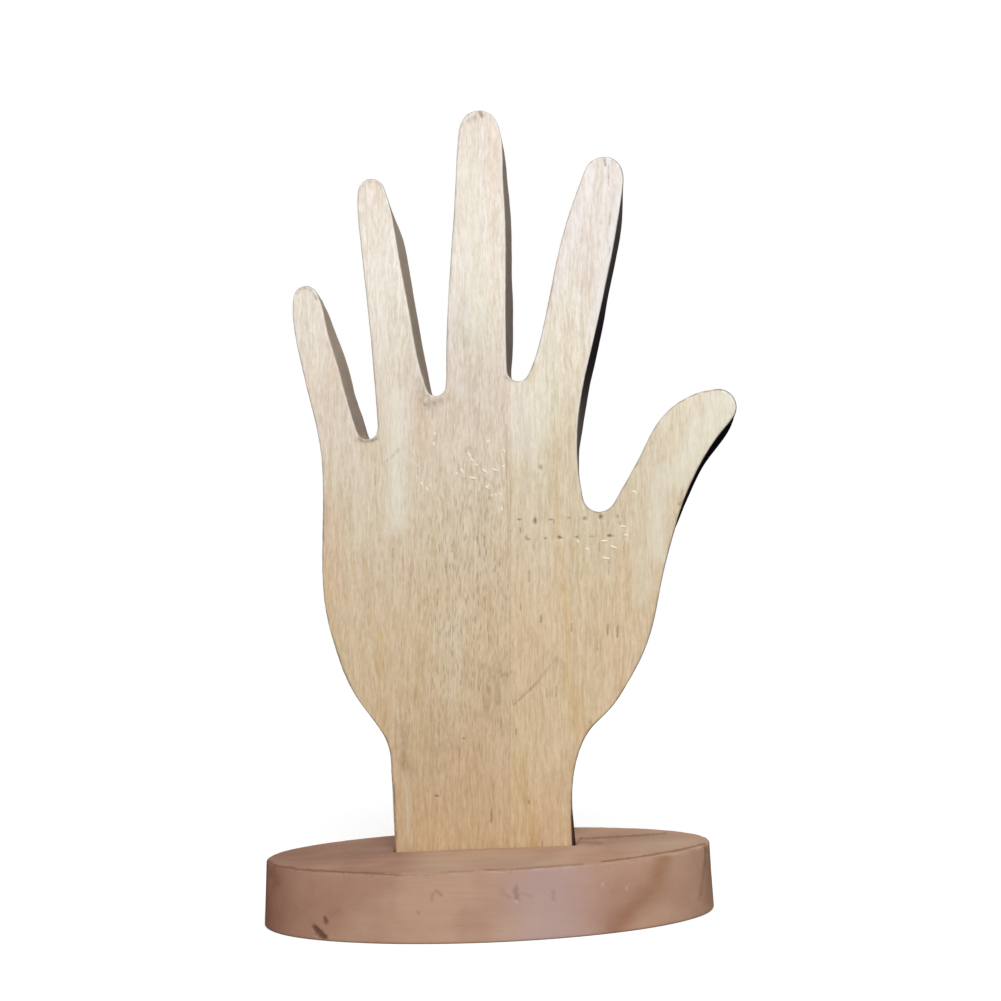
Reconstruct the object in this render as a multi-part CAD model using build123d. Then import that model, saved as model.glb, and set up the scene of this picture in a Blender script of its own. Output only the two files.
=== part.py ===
"""Flat wooden display hand that stands upright in an oval wooden base.

The hand is sawn from one board, which is glued up from two staves edge to edge. Its wrist runs down
into the base as a tenon as wide as the wrist, and two countersunk wood screws come up through the
base's underside into the two staves.

Sizes are in millimetres. +Z is up, +X is to the right of a viewer who looks at the hand's face, and
+Y points away from that viewer. The origin is the centre of the base's underside.
"""
import os

from build123d import *

# The oval base, a frustum of two ellipses with its rim eased
base_length = 99.0
base_depth = 56.0
base_thickness = 14.5
base_flare = 0.9
base_rim_radius = 1.0
base_foot_bevel = 0.5

# The hand's board, whose front face stands on the base's long axis
hand_width = 98.4
hand_rise = 165.5
board_thickness = 12.0
board_arris_radius = 0.5
wrist_width = 40.0
wrist_straight_left = 17.5
wrist_straight_right = 3.0

# Rounds of the fingertips, and of the saw cuts between the fingers
pinky_tip_radius = 2.9
ring_tip_radius = 3.2
middle_tip_radius = 4.5
index_tip_radius = 4.4
thumb_tip_radius = 4.1
pinky_ring_cut_radius = 2.3
ring_middle_cut_radius = 2.1
middle_index_cut_radius = 2.4
index_thumb_cut_radius = 3.6

# The wrist's tenon and the mortise that takes it
mortise_depth = 8.0
mortise_side_clearance = 0.1
mortise_end_clearance = 0.8
joint_overrun = 0.5

# The two wood screws, all of one size
screw_spacing = 24.0
screw_length = 20.0
screw_thread_diameter = 3.5
screw_core_diameter = 2.4
screw_pitch = 1.4
screw_shank_length = 5.0
screw_point_length = 3.0
screw_head_diameter = 7.0
screw_head_rim = 0.3
screw_head_sink = 0.4
screw_recess_length = 4.0
screw_recess_width = 1.0
screw_recess_depth = 1.5
screw_hole_clearance = 0.2
countersink_clearance = 0.1
pilot_end_clearance = 1.0
cut_overrun = 2.0

# Places on the hand's outline are shares of the hand's width, from the wrist's middle, and of its
# rise above the base. A tip or a cut is given by its middle and by its top or bottom.
pinky_tip_share = (-0.343, 0.779)
ring_tip_share = (-0.175, 0.919)
middle_tip_share = (0.083, 1.000)
index_tip_share = (0.362, 0.922)
thumb_tip_share = (0.587, 0.597)
pinky_ring_cut_share = (-0.215, 0.561)
ring_middle_cut_share = (-0.0495, 0.614)
middle_index_cut_share = (0.1415, 0.626)
index_thumb_cut_share = (0.309, 0.443)

# Places on the edges between those rounds, from the wrist's left side round to its right
palm_left_share = [(-0.210, 0.148), (-0.241, 0.181), (-0.284, 0.221), (-0.317, 0.276), (-0.337, 0.339),
                   (-0.337, 0.409), (-0.329, 0.481), (-0.327, 0.546), (-0.343, 0.609), (-0.366, 0.682),
                   (-0.376, 0.728)]
pinky_right_share = [(-0.307, 0.755), (-0.297, 0.720), (-0.276, 0.667), (-0.256, 0.612)]
ring_left_share = [(-0.193, 0.628), (-0.196, 0.697), (-0.202, 0.769), (-0.208, 0.837)]
ring_right_share = [(-0.125, 0.846), (-0.113, 0.784), (-0.099, 0.721), (-0.086, 0.662)]
middle_left_share = [(-0.023, 0.667), (-0.013, 0.727), (-0.002, 0.787), (0.011, 0.849), (0.024, 0.918),
                     (0.032, 0.960)]
middle_right_share = [(0.135, 0.957), (0.134, 0.913), (0.133, 0.846), (0.126, 0.766), (0.119, 0.691)]
index_left_share = [(0.185, 0.662), (0.209, 0.708), (0.229, 0.753), (0.250, 0.798), (0.275, 0.843)]
index_right_share = [(0.405, 0.877), (0.396, 0.852), (0.375, 0.796), (0.349, 0.739), (0.322, 0.682),
                     (0.295, 0.628), (0.274, 0.573), (0.266, 0.522)]
thumb_left_share = [(0.370, 0.480), (0.403, 0.511), (0.438, 0.547), (0.481, 0.575), (0.522, 0.589),
                    (0.555, 0.595)]
thumb_right_share = [(0.576, 0.528), (0.535, 0.492), (0.499, 0.451), (0.474, 0.412), (0.452, 0.373),
                     (0.433, 0.333), (0.416, 0.294), (0.390, 0.254), (0.354, 0.217), (0.303, 0.177),
                     (0.258, 0.152), (0.229, 0.122), (0.213, 0.087), (0.206, 0.050)]

# The glue joint leaves the cut between middle and index finger and runs down to the tenon's foot
joint_start_share = 0.3
joint_foot_share = 0.057
joint_void_share = (0.190, 1.100)

board_middle_y = board_thickness / 2
tenon_foot_z = base_thickness - mortise_depth
screw_places = [-screw_spacing / 2, screw_spacing / 2]


def on_hand(share):
    """A point of the hand's plane, as (x, z)."""
    return share[0] * hand_width, base_thickness + share[1] * hand_rise


def tip_arc(share, radius, from_angle, to_angle):
    """The round of a fingertip, over its top from the left to the right."""
    x, top = on_hand(share)
    return CenterArc((x, top - radius), radius, from_angle, to_angle - from_angle)


def cut_arc(share, radius, from_angle, to_angle):
    """The round at the bottom of a saw cut between two fingers, from the left to the right."""
    x, bottom = on_hand(share)
    return CenterArc((x, bottom + radius), radius, from_angle, to_angle - from_angle)


def edge_between(before, shares, after):
    """A smooth edge from the end of one line or arc to the start of the next."""
    points = [before @ 1, *[on_hand(share) for share in shares], after @ 0]
    return Spline(points, tangents=[before % 1, after % 0], tangent_scalars=[1, 1])


def hand_outline():
    """The hand's outline as a closed run of edges, and the cut between middle and index finger."""
    half = wrist_width / 2
    left = Line((-half, tenon_foot_z), (-half, base_thickness + wrist_straight_left))
    right = Line((half, base_thickness + wrist_straight_right), (half, tenon_foot_z))
    middle_index = cut_arc(middle_index_cut_share, middle_index_cut_radius, 180, 330)
    stretches = [
        left,
        palm_left_share,
        tip_arc(pinky_tip_share, pinky_tip_radius, 165, 25),
        pinky_right_share,
        cut_arc(pinky_ring_cut_share, pinky_ring_cut_radius, 197, 358),
        ring_left_share,
        tip_arc(ring_tip_share, ring_tip_radius, 172, 18),
        ring_right_share,
        cut_arc(ring_middle_cut_share, ring_middle_cut_radius, 195, 350),
        middle_left_share,
        tip_arc(middle_tip_share, middle_tip_radius, 160, 20),
        middle_right_share,
        middle_index,
        index_left_share,
        tip_arc(index_tip_share, index_tip_radius, 155, 20),
        index_right_share,
        cut_arc(index_thumb_cut_share, index_thumb_cut_radius, 188, 322),
        thumb_left_share,
        tip_arc(thumb_tip_share, thumb_tip_radius, 100, -42),
        thumb_right_share,
        right,
    ]
    edges = []
    for place, stretch in enumerate(stretches):
        if isinstance(stretch, list):
            stretch = edge_between(stretches[place - 1], stretch, stretches[place + 1])
        edges.append(stretch)
    edges.append(Line(right @ 1, left @ 0))
    return edges, middle_index


def hand_board():
    """The whole board with its arrises eased, and the prism that parts the thumb side from it."""
    edges, middle_index = hand_outline()
    face = Plane.XZ * make_face(Curve() + edges)
    board = extrude(face, amount=-board_thickness)
    front_and_back = board.edges().filter_by(Plane.XZ)
    board = fillet(front_and_back, board_arris_radius)

    start = middle_index @ joint_start_share
    foot = Vector(joint_foot_share * hand_width, tenon_foot_z)
    way = (start - foot).normalized()
    below = foot - way * cut_overrun
    above = start + way * joint_overrun
    void_x, void_z = on_hand(joint_void_share)
    corners = [below, above, (void_x, void_z), (hand_width, void_z), (hand_width, below.Y)]
    prism_face = Plane.XZ * make_face(Polyline(*corners, close=True))
    prism = extrude(prism_face, amount=-(board_thickness + cut_overrun))
    prism += extrude(prism_face, amount=cut_overrun)
    return board, prism


def screw():
    """A countersunk wood screw that points up, with its head's face at z = 0."""
    head = screw_head_diameter / 2
    core = screw_core_diameter / 2
    crest = screw_thread_diameter / 2
    neck_z = screw_head_rim + head - crest
    thread_z = neck_z + screw_shank_length
    point_z = screw_length - screw_point_length
    outline = [(0, 0), (head, 0), (head, screw_head_rim), (crest, neck_z), (crest, thread_z)]
    turns = int((point_z - thread_z) / screw_pitch)
    for turn in range(turns):
        low = thread_z + turn * screw_pitch
        outline += [(core, low + screw_pitch / 4), (core, low + screw_pitch * 3 / 4),
                    (crest, low + screw_pitch)]
    outline += [(core, point_z + screw_pitch / 2), (0, screw_length)]
    body = revolve(Plane.XZ * make_face(Polyline(*outline, close=True)), Axis.Z)
    for turned in (0, 90):
        slot = Box(screw_recess_length, screw_recess_width, screw_recess_depth)
        body -= Pos(0, 0, screw_recess_depth / 2) * Rot(0, 0, turned) * slot
    return body


def placed_screws():
    """Both screws where they are driven in, side by side under the wrist."""
    return [Pos(x, board_middle_y, screw_head_sink) * screw() for x in screw_places]


def drilled(stave):
    """A stave with its pilot holes, and with the grooves that the screws' threads cut in it."""
    top = screw_head_sink + screw_length + pilot_end_clearance
    low = tenon_foot_z - cut_overrun
    pilot = Cylinder(screw_core_diameter / 2, top - low)
    for x in screw_places:
        stave -= Pos(x, board_middle_y, (top + low) / 2) * pilot
    for driven in placed_screws():
        stave -= driven
    return stave


def oval(length, depth, z):
    return Plane.XY.offset(z) * Ellipse(length / 2, depth / 2)


def oval_base():
    """The base with its mortise and its two countersunk screw holes."""
    reach = 2 * base_flare
    top = oval(base_length, base_depth, base_thickness)
    foot = oval(base_length + reach, base_depth + reach, 0)
    base = loft([foot, top], ruled=True)
    base = fillet(base.edges().sort_by(Axis.Z)[-1], base_rim_radius)
    base = chamfer(base.edges().sort_by(Axis.Z)[0], base_foot_bevel)

    mortise = Box(wrist_width + 2 * mortise_end_clearance, board_thickness + 2 * mortise_side_clearance,
                  mortise_depth + cut_overrun)
    base -= Pos(0, board_middle_y, tenon_foot_z + (mortise_depth + cut_overrun) / 2) * mortise

    hole_radius = screw_thread_diameter / 2 + screw_hole_clearance
    mouth_radius = screw_head_diameter / 2 + countersink_clearance
    seat_z = screw_head_sink + screw_head_rim
    sunk = [(0, -cut_overrun), (mouth_radius, -cut_overrun), (mouth_radius, seat_z),
            (hole_radius, seat_z + mouth_radius - hole_radius),
            (hole_radius, tenon_foot_z + cut_overrun), (0, tenon_foot_z + cut_overrun)]
    hole = revolve(Plane.XZ * make_face(Polyline(*sunk, close=True)), Axis.Z)
    for x in screw_places:
        base -= Pos(x, board_middle_y, 0) * hole
    return base


def sub_parts():
    """Every sub-part by its name."""
    board, thumb_prism = hand_board()
    return {
        "oval_base": oval_base(),
        "hand_finger_stave": drilled(board - thumb_prism),
        "hand_thumb_stave": drilled(board & thumb_prism),
        "base_screws": Compound(placed_screws()),
    }


os.makedirs("parts", exist_ok=True)
for name, shape in sub_parts().items():
    export_step(shape, f"parts/{name}.step")
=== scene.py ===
"""Looks of a flat wooden display hand that stands in an oval base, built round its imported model.

Lengths are in metres. +X is to the right of a viewer who looks at the hand's face, +Y points away
from that viewer and +Z is up. The origin is the centre of the base's underside. Marks on the wood are
placed by pixels of the photograph's 1001 by 1001 frame, through the fitted camera.
"""
import math

import bmesh
import bpy
import numpy as np
from bpy.props import FloatProperty, IntProperty, PointerProperty
from mathutils import Matrix, Vector
from mathutils.geometry import delaunay_2d_cdt
from mathutils.kdtree import KDTree


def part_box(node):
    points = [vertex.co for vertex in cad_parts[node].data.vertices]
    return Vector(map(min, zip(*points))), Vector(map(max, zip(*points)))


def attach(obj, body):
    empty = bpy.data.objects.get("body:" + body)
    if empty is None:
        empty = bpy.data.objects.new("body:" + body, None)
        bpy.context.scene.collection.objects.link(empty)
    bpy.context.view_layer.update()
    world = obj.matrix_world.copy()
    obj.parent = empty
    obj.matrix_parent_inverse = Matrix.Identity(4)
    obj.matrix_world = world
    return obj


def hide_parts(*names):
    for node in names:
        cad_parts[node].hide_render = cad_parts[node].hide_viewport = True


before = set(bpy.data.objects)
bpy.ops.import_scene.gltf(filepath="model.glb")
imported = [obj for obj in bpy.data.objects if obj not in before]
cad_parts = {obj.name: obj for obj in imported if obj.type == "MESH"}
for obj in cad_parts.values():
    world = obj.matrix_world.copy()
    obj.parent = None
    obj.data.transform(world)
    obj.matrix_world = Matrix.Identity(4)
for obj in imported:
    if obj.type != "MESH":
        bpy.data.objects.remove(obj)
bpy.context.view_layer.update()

bl_info = {
    "name": "Wooden display hand",
    "version": (1, 0, 0),
    "blender": (4, 5, 0),
    "location": "3D View > Sidebar > Display Hand",
    "description": "Builds the wooden hand, its oval base and the stage it is photographed on",
    "category": "Object",
}

MM = 0.001
BODY = "root"
STAVES = {"hand_finger_stave": "hand_wood", "hand_thumb_stave": "hand_wood_pale"}

# Marks on the hand's face, in pixels of the photograph.
# Small pits, most of them in two rows as a toothed clamp leaves them: middle, half width, half height, depth
PITS = [
    ((518.9, 519.8), 2.0, 1.0, 0.6), ((534.9, 521.3), 1.5, 2.9, 1.0), ((550.6, 520.0), 2.8, 0.9, 0.45),
    ((553.6, 522.4), 0.8, 2.2, 0.4), ((568.6, 518.3), 2.0, 1.1, 0.3), ((584.5, 518.9), 1.9, 1.8, 0.6),
    ((600.4, 516.8), 1.9, 2.5, 1.0), ((617.6, 517.0), 1.3, 2.0, 0.35), ((619.9, 523.6), 0.9, 1.8, 0.3),
    ((520.2, 531.0), 1.1, 2.6, 0.4), ((527.6, 539.8), 2.2, 1.2, 0.45), ((526.2, 537.6), 0.8, 2.2, 0.4),
    ((545.2, 538.8), 1.5, 1.3, 0.5), ((559.2, 537.8), 1.8, 1.5, 0.9), ((561.6, 538.4), 1.2, 0.8, 0.4),
    ((576.6, 537.4), 1.8, 1.3, 0.5), ((591.8, 536.8), 2.2, 1.0, 0.3), ((609.2, 536.0), 1.9, 1.4, 1.0),
    ((612.4, 536.4), 1.5, 0.9, 0.4), ((540.6, 467.4), 1.6, 2.6, 0.5), ((463.6, 739.0), 1.0, 1.2, 0.5),
    ((436.8, 796.4), 2.0, 0.9, 0.6), ((528.8, 802.7), 0.9, 1.9, 0.5), ((424.6, 405.4), 1.4, 1.2, 0.5),
]
# Open pores and dark dashes along the grain: middle, length and darkness
DASHES = [
    ((375.0, 476.0), 22, 0.35), ((418.0, 460.0), 8, 0.40), ((417.6, 471.0), 9, 0.45),
    ((428.5, 539.0), 12, 0.50), ((478.0, 535.0), 25, 0.55), ((484.5, 541.5), 14, 0.55),
    ((479.5, 551.0), 14, 0.50), ((486.0, 552.0), 8, 0.60), ((446.0, 568.0), 10, 0.60),
    ((452.0, 549.0), 7, 0.50), ((500.0, 562.0), 10, 0.50), ((410.5, 585.0), 30, 0.40),
    ((393.0, 553.0), 12, 0.35), ((509.5, 536.0), 14, 0.35), ((489.0, 494.0), 14, 0.55),
    ((479.0, 497.0), 12, 0.45), ((432.3, 414.0), 13, 0.55), ((529.0, 576.0), 14, 0.70),
    ((609.0, 568.0), 18, 0.55), ((599.3, 547.0), 10, 0.45), ((534.0, 548.0), 6, 0.35),
    ((510.6, 549.0), 14, 0.35), ((541.0, 618.8), 8, 0.80), ((571.6, 627.7), 9, 0.70),
    ((608.0, 630.0), 14, 0.65), ((617.5, 632.0), 13, 0.75), ((597.6, 644.6), 14, 0.55),
    ((546.6, 693.0), 10, 0.50), ((556.4, 692.0), 13, 0.50), ((570.0, 701.0), 8, 0.35),
    ((590.4, 723.0), 8, 0.45), ((491.3, 816.0), 16, 0.80), ((516.3, 732.0), 7, 0.60),
    ((542.2, 844.6), 6, 0.70), ((558.3, 802.0), 9, 0.30), ((479.6, 743.0), 16, 0.40),
    ((501.3, 723.0), 13, 0.50), ((528.0, 634.0), 18, 0.35), ((485.0, 604.0), 16, 0.50),
    ((520.7, 607.0), 8, 0.50), ((493.6, 792.0), 22, 0.35), ((430.5, 724.0), 10, 0.35),
    ((581.6, 236.0), 18, 0.30), ((461.4, 158.0), 8, 0.30), ((418.0, 378.0), 4, 0.40),
    ((421.0, 386.0), 4, 0.45), ((416.6, 392.0), 4, 0.40), ((424.0, 395.0), 4, 0.45),
    ((420.4, 401.0), 5, 0.45), ((414.6, 384.0), 4, 0.35), ((427.6, 409.0), 4, 0.35),
    ((438.0, 404.6), 4, 0.35), ((609.8, 219.0), 17, 0.45), ((609.6, 251.0), 10, 0.55),
    ((608.6, 176.0), 28, 0.35), ((478.2, 590.0), 10, 0.35),
]
# Scratches, cracks, and dark lines of dirt and painted shade: points, half width and darkness
SCRATCHES = [
    ([(514, 705), (522, 697), (530, 690)], 1.2, 0.40), ([(530, 690), (534, 685.5), (538, 682)], 1.4, 0.6),
    ([(538, 682), (545, 672), (552, 664)], 1.2, 0.38),
    ([(604.0, 156.5), (604.6, 161), (605.4, 165.5)], 1.1, 1.0),
    ([(611.5, 157), (613.2, 161.5)], 0.8, 0.45), ([(608.4, 166), (608.0, 184)], 0.7, 0.4),
    # The next line is painted shade along the wrist's left edge
    ([(393.4, 785), (395.4, 840)], 1.2, 1.0),
    # The next line is dirt and painted shade at the bottom of the crotch between pinky and ring
    ([(359.5, 438.5), (364.5, 441.6), (370, 441.6), (376, 438.5)], 2.0, 0.9),
    ([(506.2, 425), (506.5, 478)], 0.8, 0.35), ([(507, 486), (507.6, 520)], 0.7, 0.25),
]
# Soft smudges: points, half width and darkness
SMUDGES = [
    ([(552, 667), (557, 658.5), (563, 664)], 2.6, 0.42), ([(563, 666), (564, 680)], 2.4, 0.42),
    ([(553, 668), (553.5, 676)], 2.0, 0.30), ([(494, 677), (501, 676.5), (511, 672)], 2.4, 0.45),
    ([(498, 664), (498.5, 702)], 3.2, 0.38), ([(488, 670), (487, 706)], 3.6, 0.30),
    ([(483, 664), (483, 700)], 1.6, 0.25), ([(429, 380), (423, 392), (428, 400)], 4.5, 0.45),
    ([(428, 400), (434, 402.5)], 3.0, 0.65), ([(383, 463), (390, 458.5), (397, 451.5)], 1.2, 0.45),
    ([(395, 452), (398, 450.5)], 1.6, 0.45), ([(679.5, 504.5), (681.5, 503)], 2.0, 0.9),
    ([(683, 488), (677, 516)], 1.2, 0.35), ([(419, 380), (424, 398), (431, 405)], 6.0, 0.45),
    # The last smudge of the next line is dirt and painted shade in the crotch between pinky and ring
    ([(436, 403), (446, 398)], 5.0, 0.40), ([(357, 440), (366, 442), (376, 439)], 2.6, 0.6),
    ([(506, 378), (514, 381)], 2.0, 0.50), ([(404, 728), (403, 755), (408, 772)], 6.0, 0.30),
    ([(479, 111), (482, 116)], 2.4, 0.75), ([(469, 121), (476, 117)], 2.6, 0.50),
    ([(463.5, 118), (461, 127)], 1.4, 0.4), ([(464, 452), (470, 447), (474, 456)], 2.0, 0.30),
    ([(297, 294), (300, 289.5), (304.5, 287), (309.5, 288.6), (314, 294.5), (316.5, 299)], 1.3, 0.85),
    ([(360.5, 190), (364, 183.4), (371, 180.4), (378, 182.6), (382, 188)], 1.2, 0.45),
    ([(457, 462), (461, 476), (468, 483)], 1.5, 0.35), ([(478, 462), (482, 476), (490, 482)], 1.4, 0.35),
    ([(440, 715), (440, 760)], 14.0, 0.16), ([(470, 320), (472, 400)], 18.0, 0.12),
    ([(484, 500), (486, 520)], 4.0, 0.2),
]
# Streaks of another tone along the grain: points, half width and strength
HONEY_STREAKS = [
    ([(349, 502), (350, 560), (353, 580)], 3.5, 0.45), ([(375, 455), (375.5, 503)], 1.3, 0.45),
    ([(506, 436), (506, 505), (507, 560)], 1.6, 0.40), ([(511, 440), (512, 500)], 4.0, 0.30),
    ([(553, 432), (557, 500), (559, 560), (562, 600)], 2.5, 0.50),
    ([(562, 585), (566, 600), (568, 690)], 5.0, 0.70), ([(573, 695), (577, 725)], 8.0, 0.70),
    ([(520, 752), (521, 800)], 5.0, 0.55), ([(530, 805), (532, 852)], 6.0, 0.75),
    ([(379, 636), (380, 682)], 5.0, 0.55), ([(383, 700), (384, 726)], 4.0, 0.50),
    ([(424, 790), (426, 850)], 4.0, 0.35), ([(622, 527), (626, 560), (629, 600), (636, 625)], 1.6, 0.55),
    ([(328, 560), (329, 610), (338, 650)], 3.0, 0.4),
]
PINK_STREAKS = [
    ([(326, 490), (326, 600)], 4.5, 0.60), ([(339, 515), (338, 560), (345, 600)], 5.0, 0.50),
    ([(420, 408), (424, 440)], 9.0, 0.50), ([(568, 405), (570, 476)], 8.0, 0.40),
    ([(628, 496), (626, 515)], 7.0, 0.4), ([(622, 550), (622, 625)], 6.0, 0.50),
    ([(536, 632), (540, 668)], 9.0, 0.30), ([(402, 762), (401, 800)], 4.0, 0.6),
    ([(468, 755), (470, 785)], 16.0, 0.30), ([(488, 585), (486, 620)], 5.0, 0.40),
    ([(366, 560), (372, 620)], 8.0, 0.3),
]
PALE_STREAKS = [
    ([(396, 395), (396, 470), (396, 521)], 11.0, 1.0), ([(361, 465), (362, 534)], 8.0, 0.45),
    ([(336, 410), (336, 480)], 6.0, 0.40), ([(544, 385), (544, 432)], 6.0, 0.45),
    ([(661, 470), (657, 550)], 12.0, 0.85), ([(645, 550), (641, 600)], 8.0, 0.45),
    ([(724, 405), (700, 440), (676, 476)], 18.0, 0.95), ([(449, 627), (450, 690)], 14.0, 0.30),
    ([(468, 170), (470, 250), (480, 330)], 12.0, 0.65), ([(502.5, 160), (505, 300)], 1.4, 0.60),
    ([(404, 775), (410, 845)], 3.0, 0.35), ([(380, 250), (386, 390)], 8.0, 0.4),
]
COOL_STREAKS = [
    ([(618, 200), (607, 262), (592, 330)], 5.0, 0.75), ([(590, 176), (570, 240), (556, 296)], 4.0, 0.45),
    ([(608, 165), (617, 180)], 6.0, 0.40), ([(449, 300), (447, 366)], 4.0, 0.40),
    ([(712, 398), (730, 400)], 5.0, 0.5), ([(519, 388), (521, 446)], 13.0, 0.42),
    ([(449, 366), (462, 392)], 7.0, 0.35),
]
# Dark flecks are thickest round this place on the palm: middle, half width and half height
FLECKED = ((468, 600), 60, 170)
# Small raised curls of torn fibre: points along each
CURLS = [
    [(485.6, 440.2), (488.4, 441.8), (490.8, 443.8)], [(489.6, 438.6), (488.2, 441.6), (486.6, 445.0)],
    [(466.4, 451.0), (469.6, 456.0), (471.6, 460.6)], [(470.2, 457.6), (472.0, 460.2), (474.4, 463.0)],
    [(459.8, 466.4), (461.8, 471.2), (465.8, 474.6)], [(455.4, 471.6), (456.6, 473.6), (457.2, 475.8)],
    [(466.8, 476.0), (472.4, 478.2), (478.6, 477.8)], [(481.8, 466.6), (484.2, 470.8), (488.8, 474.6)],
    [(490.6, 467.6), (495.2, 470.2), (500.2, 471.2)], [(500.8, 468.6), (503.4, 466.6), (504.6, 463.4)],
    [(500.6, 450.0), (503.8, 450.6), (504.8, 455.0)], [(484.2, 484.4), (486.8, 487.6), (490.6, 489.4)],
    [(485.8, 488.8), (488.2, 486.4), (489.6, 484.2)], [(491.2, 493.2), (491.8, 495.8), (491.4, 498.2)],
    [(495.0, 493.0), (495.8, 494.8), (495.6, 496.8)], [(498.8, 492.6), (500.0, 494.2), (499.8, 496.2)],
    [(421.2, 480.2), (421.6, 484.0), (421.2, 488.2)], [(425.8, 485.6), (427.0, 489.4), (428.2, 493.6)],
    [(433.6, 440.6), (433.8, 444.4), (433.2, 448.0)], [(433.2, 431.8), (434.6, 434.0), (434.4, 436.4)],
    [(501.2, 506.0), (501.6, 509.4), (501.2, 512.6)], [(598.4, 540.6), (604.6, 541.2), (610.2, 539.8)],
    [(608.8, 543.6), (613.6, 547.4), (619.6, 547.8)], [(583.4, 549.6), (587.0, 549.0), (590.6, 550.4)],
    [(600.4, 555.2), (604.4, 558.2), (612.8, 558.2)], [(577.4, 538.8), (578.0, 541.8), (579.4, 544.6)],
    [(619.0, 526.0), (622.6, 526.6), (627.0, 526.2)], [(629.4, 491.2), (634.2, 491.8), (637.6, 496.8)],
    [(622.6, 534.8), (626.0, 535.4), (629.6, 534.8)], [(473.8, 466.4), (476.2, 464.6), (478.8, 465.8)],
]
# Places on the sawn edge where it faces right, and how many millimetres its back stands out there
RIGHT_LEAN = [
    ((312, 290), -1.6), ((320, 306), -1.5), ((326, 319), -0.7), ((331, 331), 0.0), ((337, 345), 0.3),
    ((345, 368), 0.15), ((352, 392), 0.0), ((358, 412), 0.45), ((364, 430), 0.15), ((383, 184), -1.6),
    ((390, 204), -1.6), ((393, 214), -0.9), ((396, 226), 0.0), ((400, 240), 0.15), ((405, 260), 0.1),
    ((412, 316), -0.05), ((422, 362), 0.0), ((427, 382), -0.5), ((431, 396), -1.1), ((497, 125), -1.0),
    ((501, 145), -0.9), ((503, 165), -0.5), ((504, 190), 0.0), ((507, 304), 0.35), ((507, 340), 0.35),
    ((507, 358), 0.0), ((508, 372), -0.6), ((510, 382), -1.0), ((622, 176), -1.1), ((621, 194), -0.6),
    ((620, 206), 0.0), ((616, 225), 0.15), ((610, 255), 0.0), ((598, 328), 0.35), ((590, 360), 0.5),
    ((584, 400), 0.5), ((579, 425), 0.3), ((578, 450), -0.6), ((580, 478), -1.0), ((586, 500), -1.0),
    ((736, 402), -1.3), ((734, 413), -0.5), ((728, 424), 1.0), ((720, 434), 1.1), ((711, 447), 0.9),
    ((702, 460), 0.3), ((692, 476), 0.35), ((684, 494), 0.4), ((677, 512), 0.0), ((668, 545), -0.9),
    ((658, 590), -0.9), ((645, 635), -0.9), ((620, 680), -0.9), ((592, 715), -0.9), ((576, 755), -0.9),
    ((573, 790), -1.0), ((573, 806), -1.0), ((574, 818), -0.9), ((574, 832), -0.45), ((574, 845), -0.4),
]
# Places on the sawn edge where it faces right, and how dark it is painted there: painted shade, with saw burn
RIGHT_SHADE = [
    ((318, 310), 0.10), ((340, 380), 0.17), ((364, 425), 0.26), ((395, 215), 0.11), ((408, 260), 0.16),
    ((427, 360), 0.23), ((507, 180), 0.27), ((509, 240), 0.31), ((510, 300), 0.35), ((511, 360), 0.42),
    ((620, 200), 0.62), ((615, 240), 0.72), ((610, 270), 0.80), ((600, 320), 0.91), ((588, 365), 0.94),
    ((580, 410), 0.63), ((580, 460), 0.50), ((730, 415), 1.0), ((716, 445), 1.0), ((696, 478), 1.0),
    ((685, 505), 1.0), ((655, 600), 0.5), ((600, 705), 0.6), ((574, 770), 0.6), ((575, 830), 0.70),
]
# Marks on the base's side: points, half width and strength
BASE_DIRT = [
    ([(314.4, 927.4), (317.5, 930.6)], 2.3, 1.0), ([(317.5, 930.6), (323.2, 936.4)], 3.2, 1.0),
    ([(324.9, 917.6), (325.3, 922)], 1.9, 0.8), ([(331, 914), (338, 911)], 4.0, 0.14),
    ([(431.4, 900), (433, 894), (437, 891), (441.4, 894.6)], 1.5, 0.32),
    ([(516, 889), (516.4, 898)], 3.0, 0.38), ([(503, 893), (509, 897)], 2.6, 0.16),
    ([(522, 894), (531, 896)], 2.4, 0.13), ([(553.4, 891), (553.4, 899)], 2.0, 0.22),
    ([(418, 912), (418.4, 913.6)], 1.2, 0.3), ([(705.2, 843), (705.0, 866)], 1.1, 0.45),
    ([(704.6, 868), (699.5, 900)], 1.6, 0.25), ([(273, 872), (277, 884)], 4.0, 0.25),
]
BASE_PALE = [
    ([(602.6, 883.4), (603, 885.4)], 1.2, 0.45), ([(626.8, 887), (626.8, 889.4)], 1.2, 0.4),
    ([(516.2, 901), (516.8, 902.4)], 1.3, 0.7),
]
BASE_PLUM = [([(548, 870), (552, 935)], 44.0, 0.9)]
BASE_RUST = [
    ([(664, 858), (653, 888), (633, 908), (614, 930)], 10.5, 1.0), ([(709, 850), (708, 900)], 4.5, 0.6),
    ([(250, 890), (262, 905)], 12.0, 0.4),
]
BASE_RED = [
    ([(258, 868), (268, 915)], 52.0, 1.0), ([(300, 880), (330, 915)], 34.0, 0.6),
    ([(400, 880), (400, 930)], 50.0, 0.12), ([(632, 872), (612, 918)], 26.0, 0.35),
]
# Painted shadow of the hand on the base's top: points, half width and strength
PAINTED_TOP_SHADOW = [
    ([(577, 839), (620, 836.6), (666, 833.4)], 1.0, 0.45), ([(578, 841.8), (602, 843.4)], 1.8, 0.3),
    ([(345, 852), (372, 853), (396, 851)], 2.4, 0.12),
]
# Painted light on the top's front and right, and painted shade on its left and behind the hand
PAINTED_TOP_LIGHT = [([(425, 866), (560, 862)], 22.0, 0.3), ([(640, 845), (720, 840)], 16.0, 0.2)]
PAINTED_TOP_SHADE = [([(258, 862), (330, 852), (396, 843)], 26.0, 0.72), ([(590, 836), (640, 833)], 8.0, 0.2)]
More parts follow.
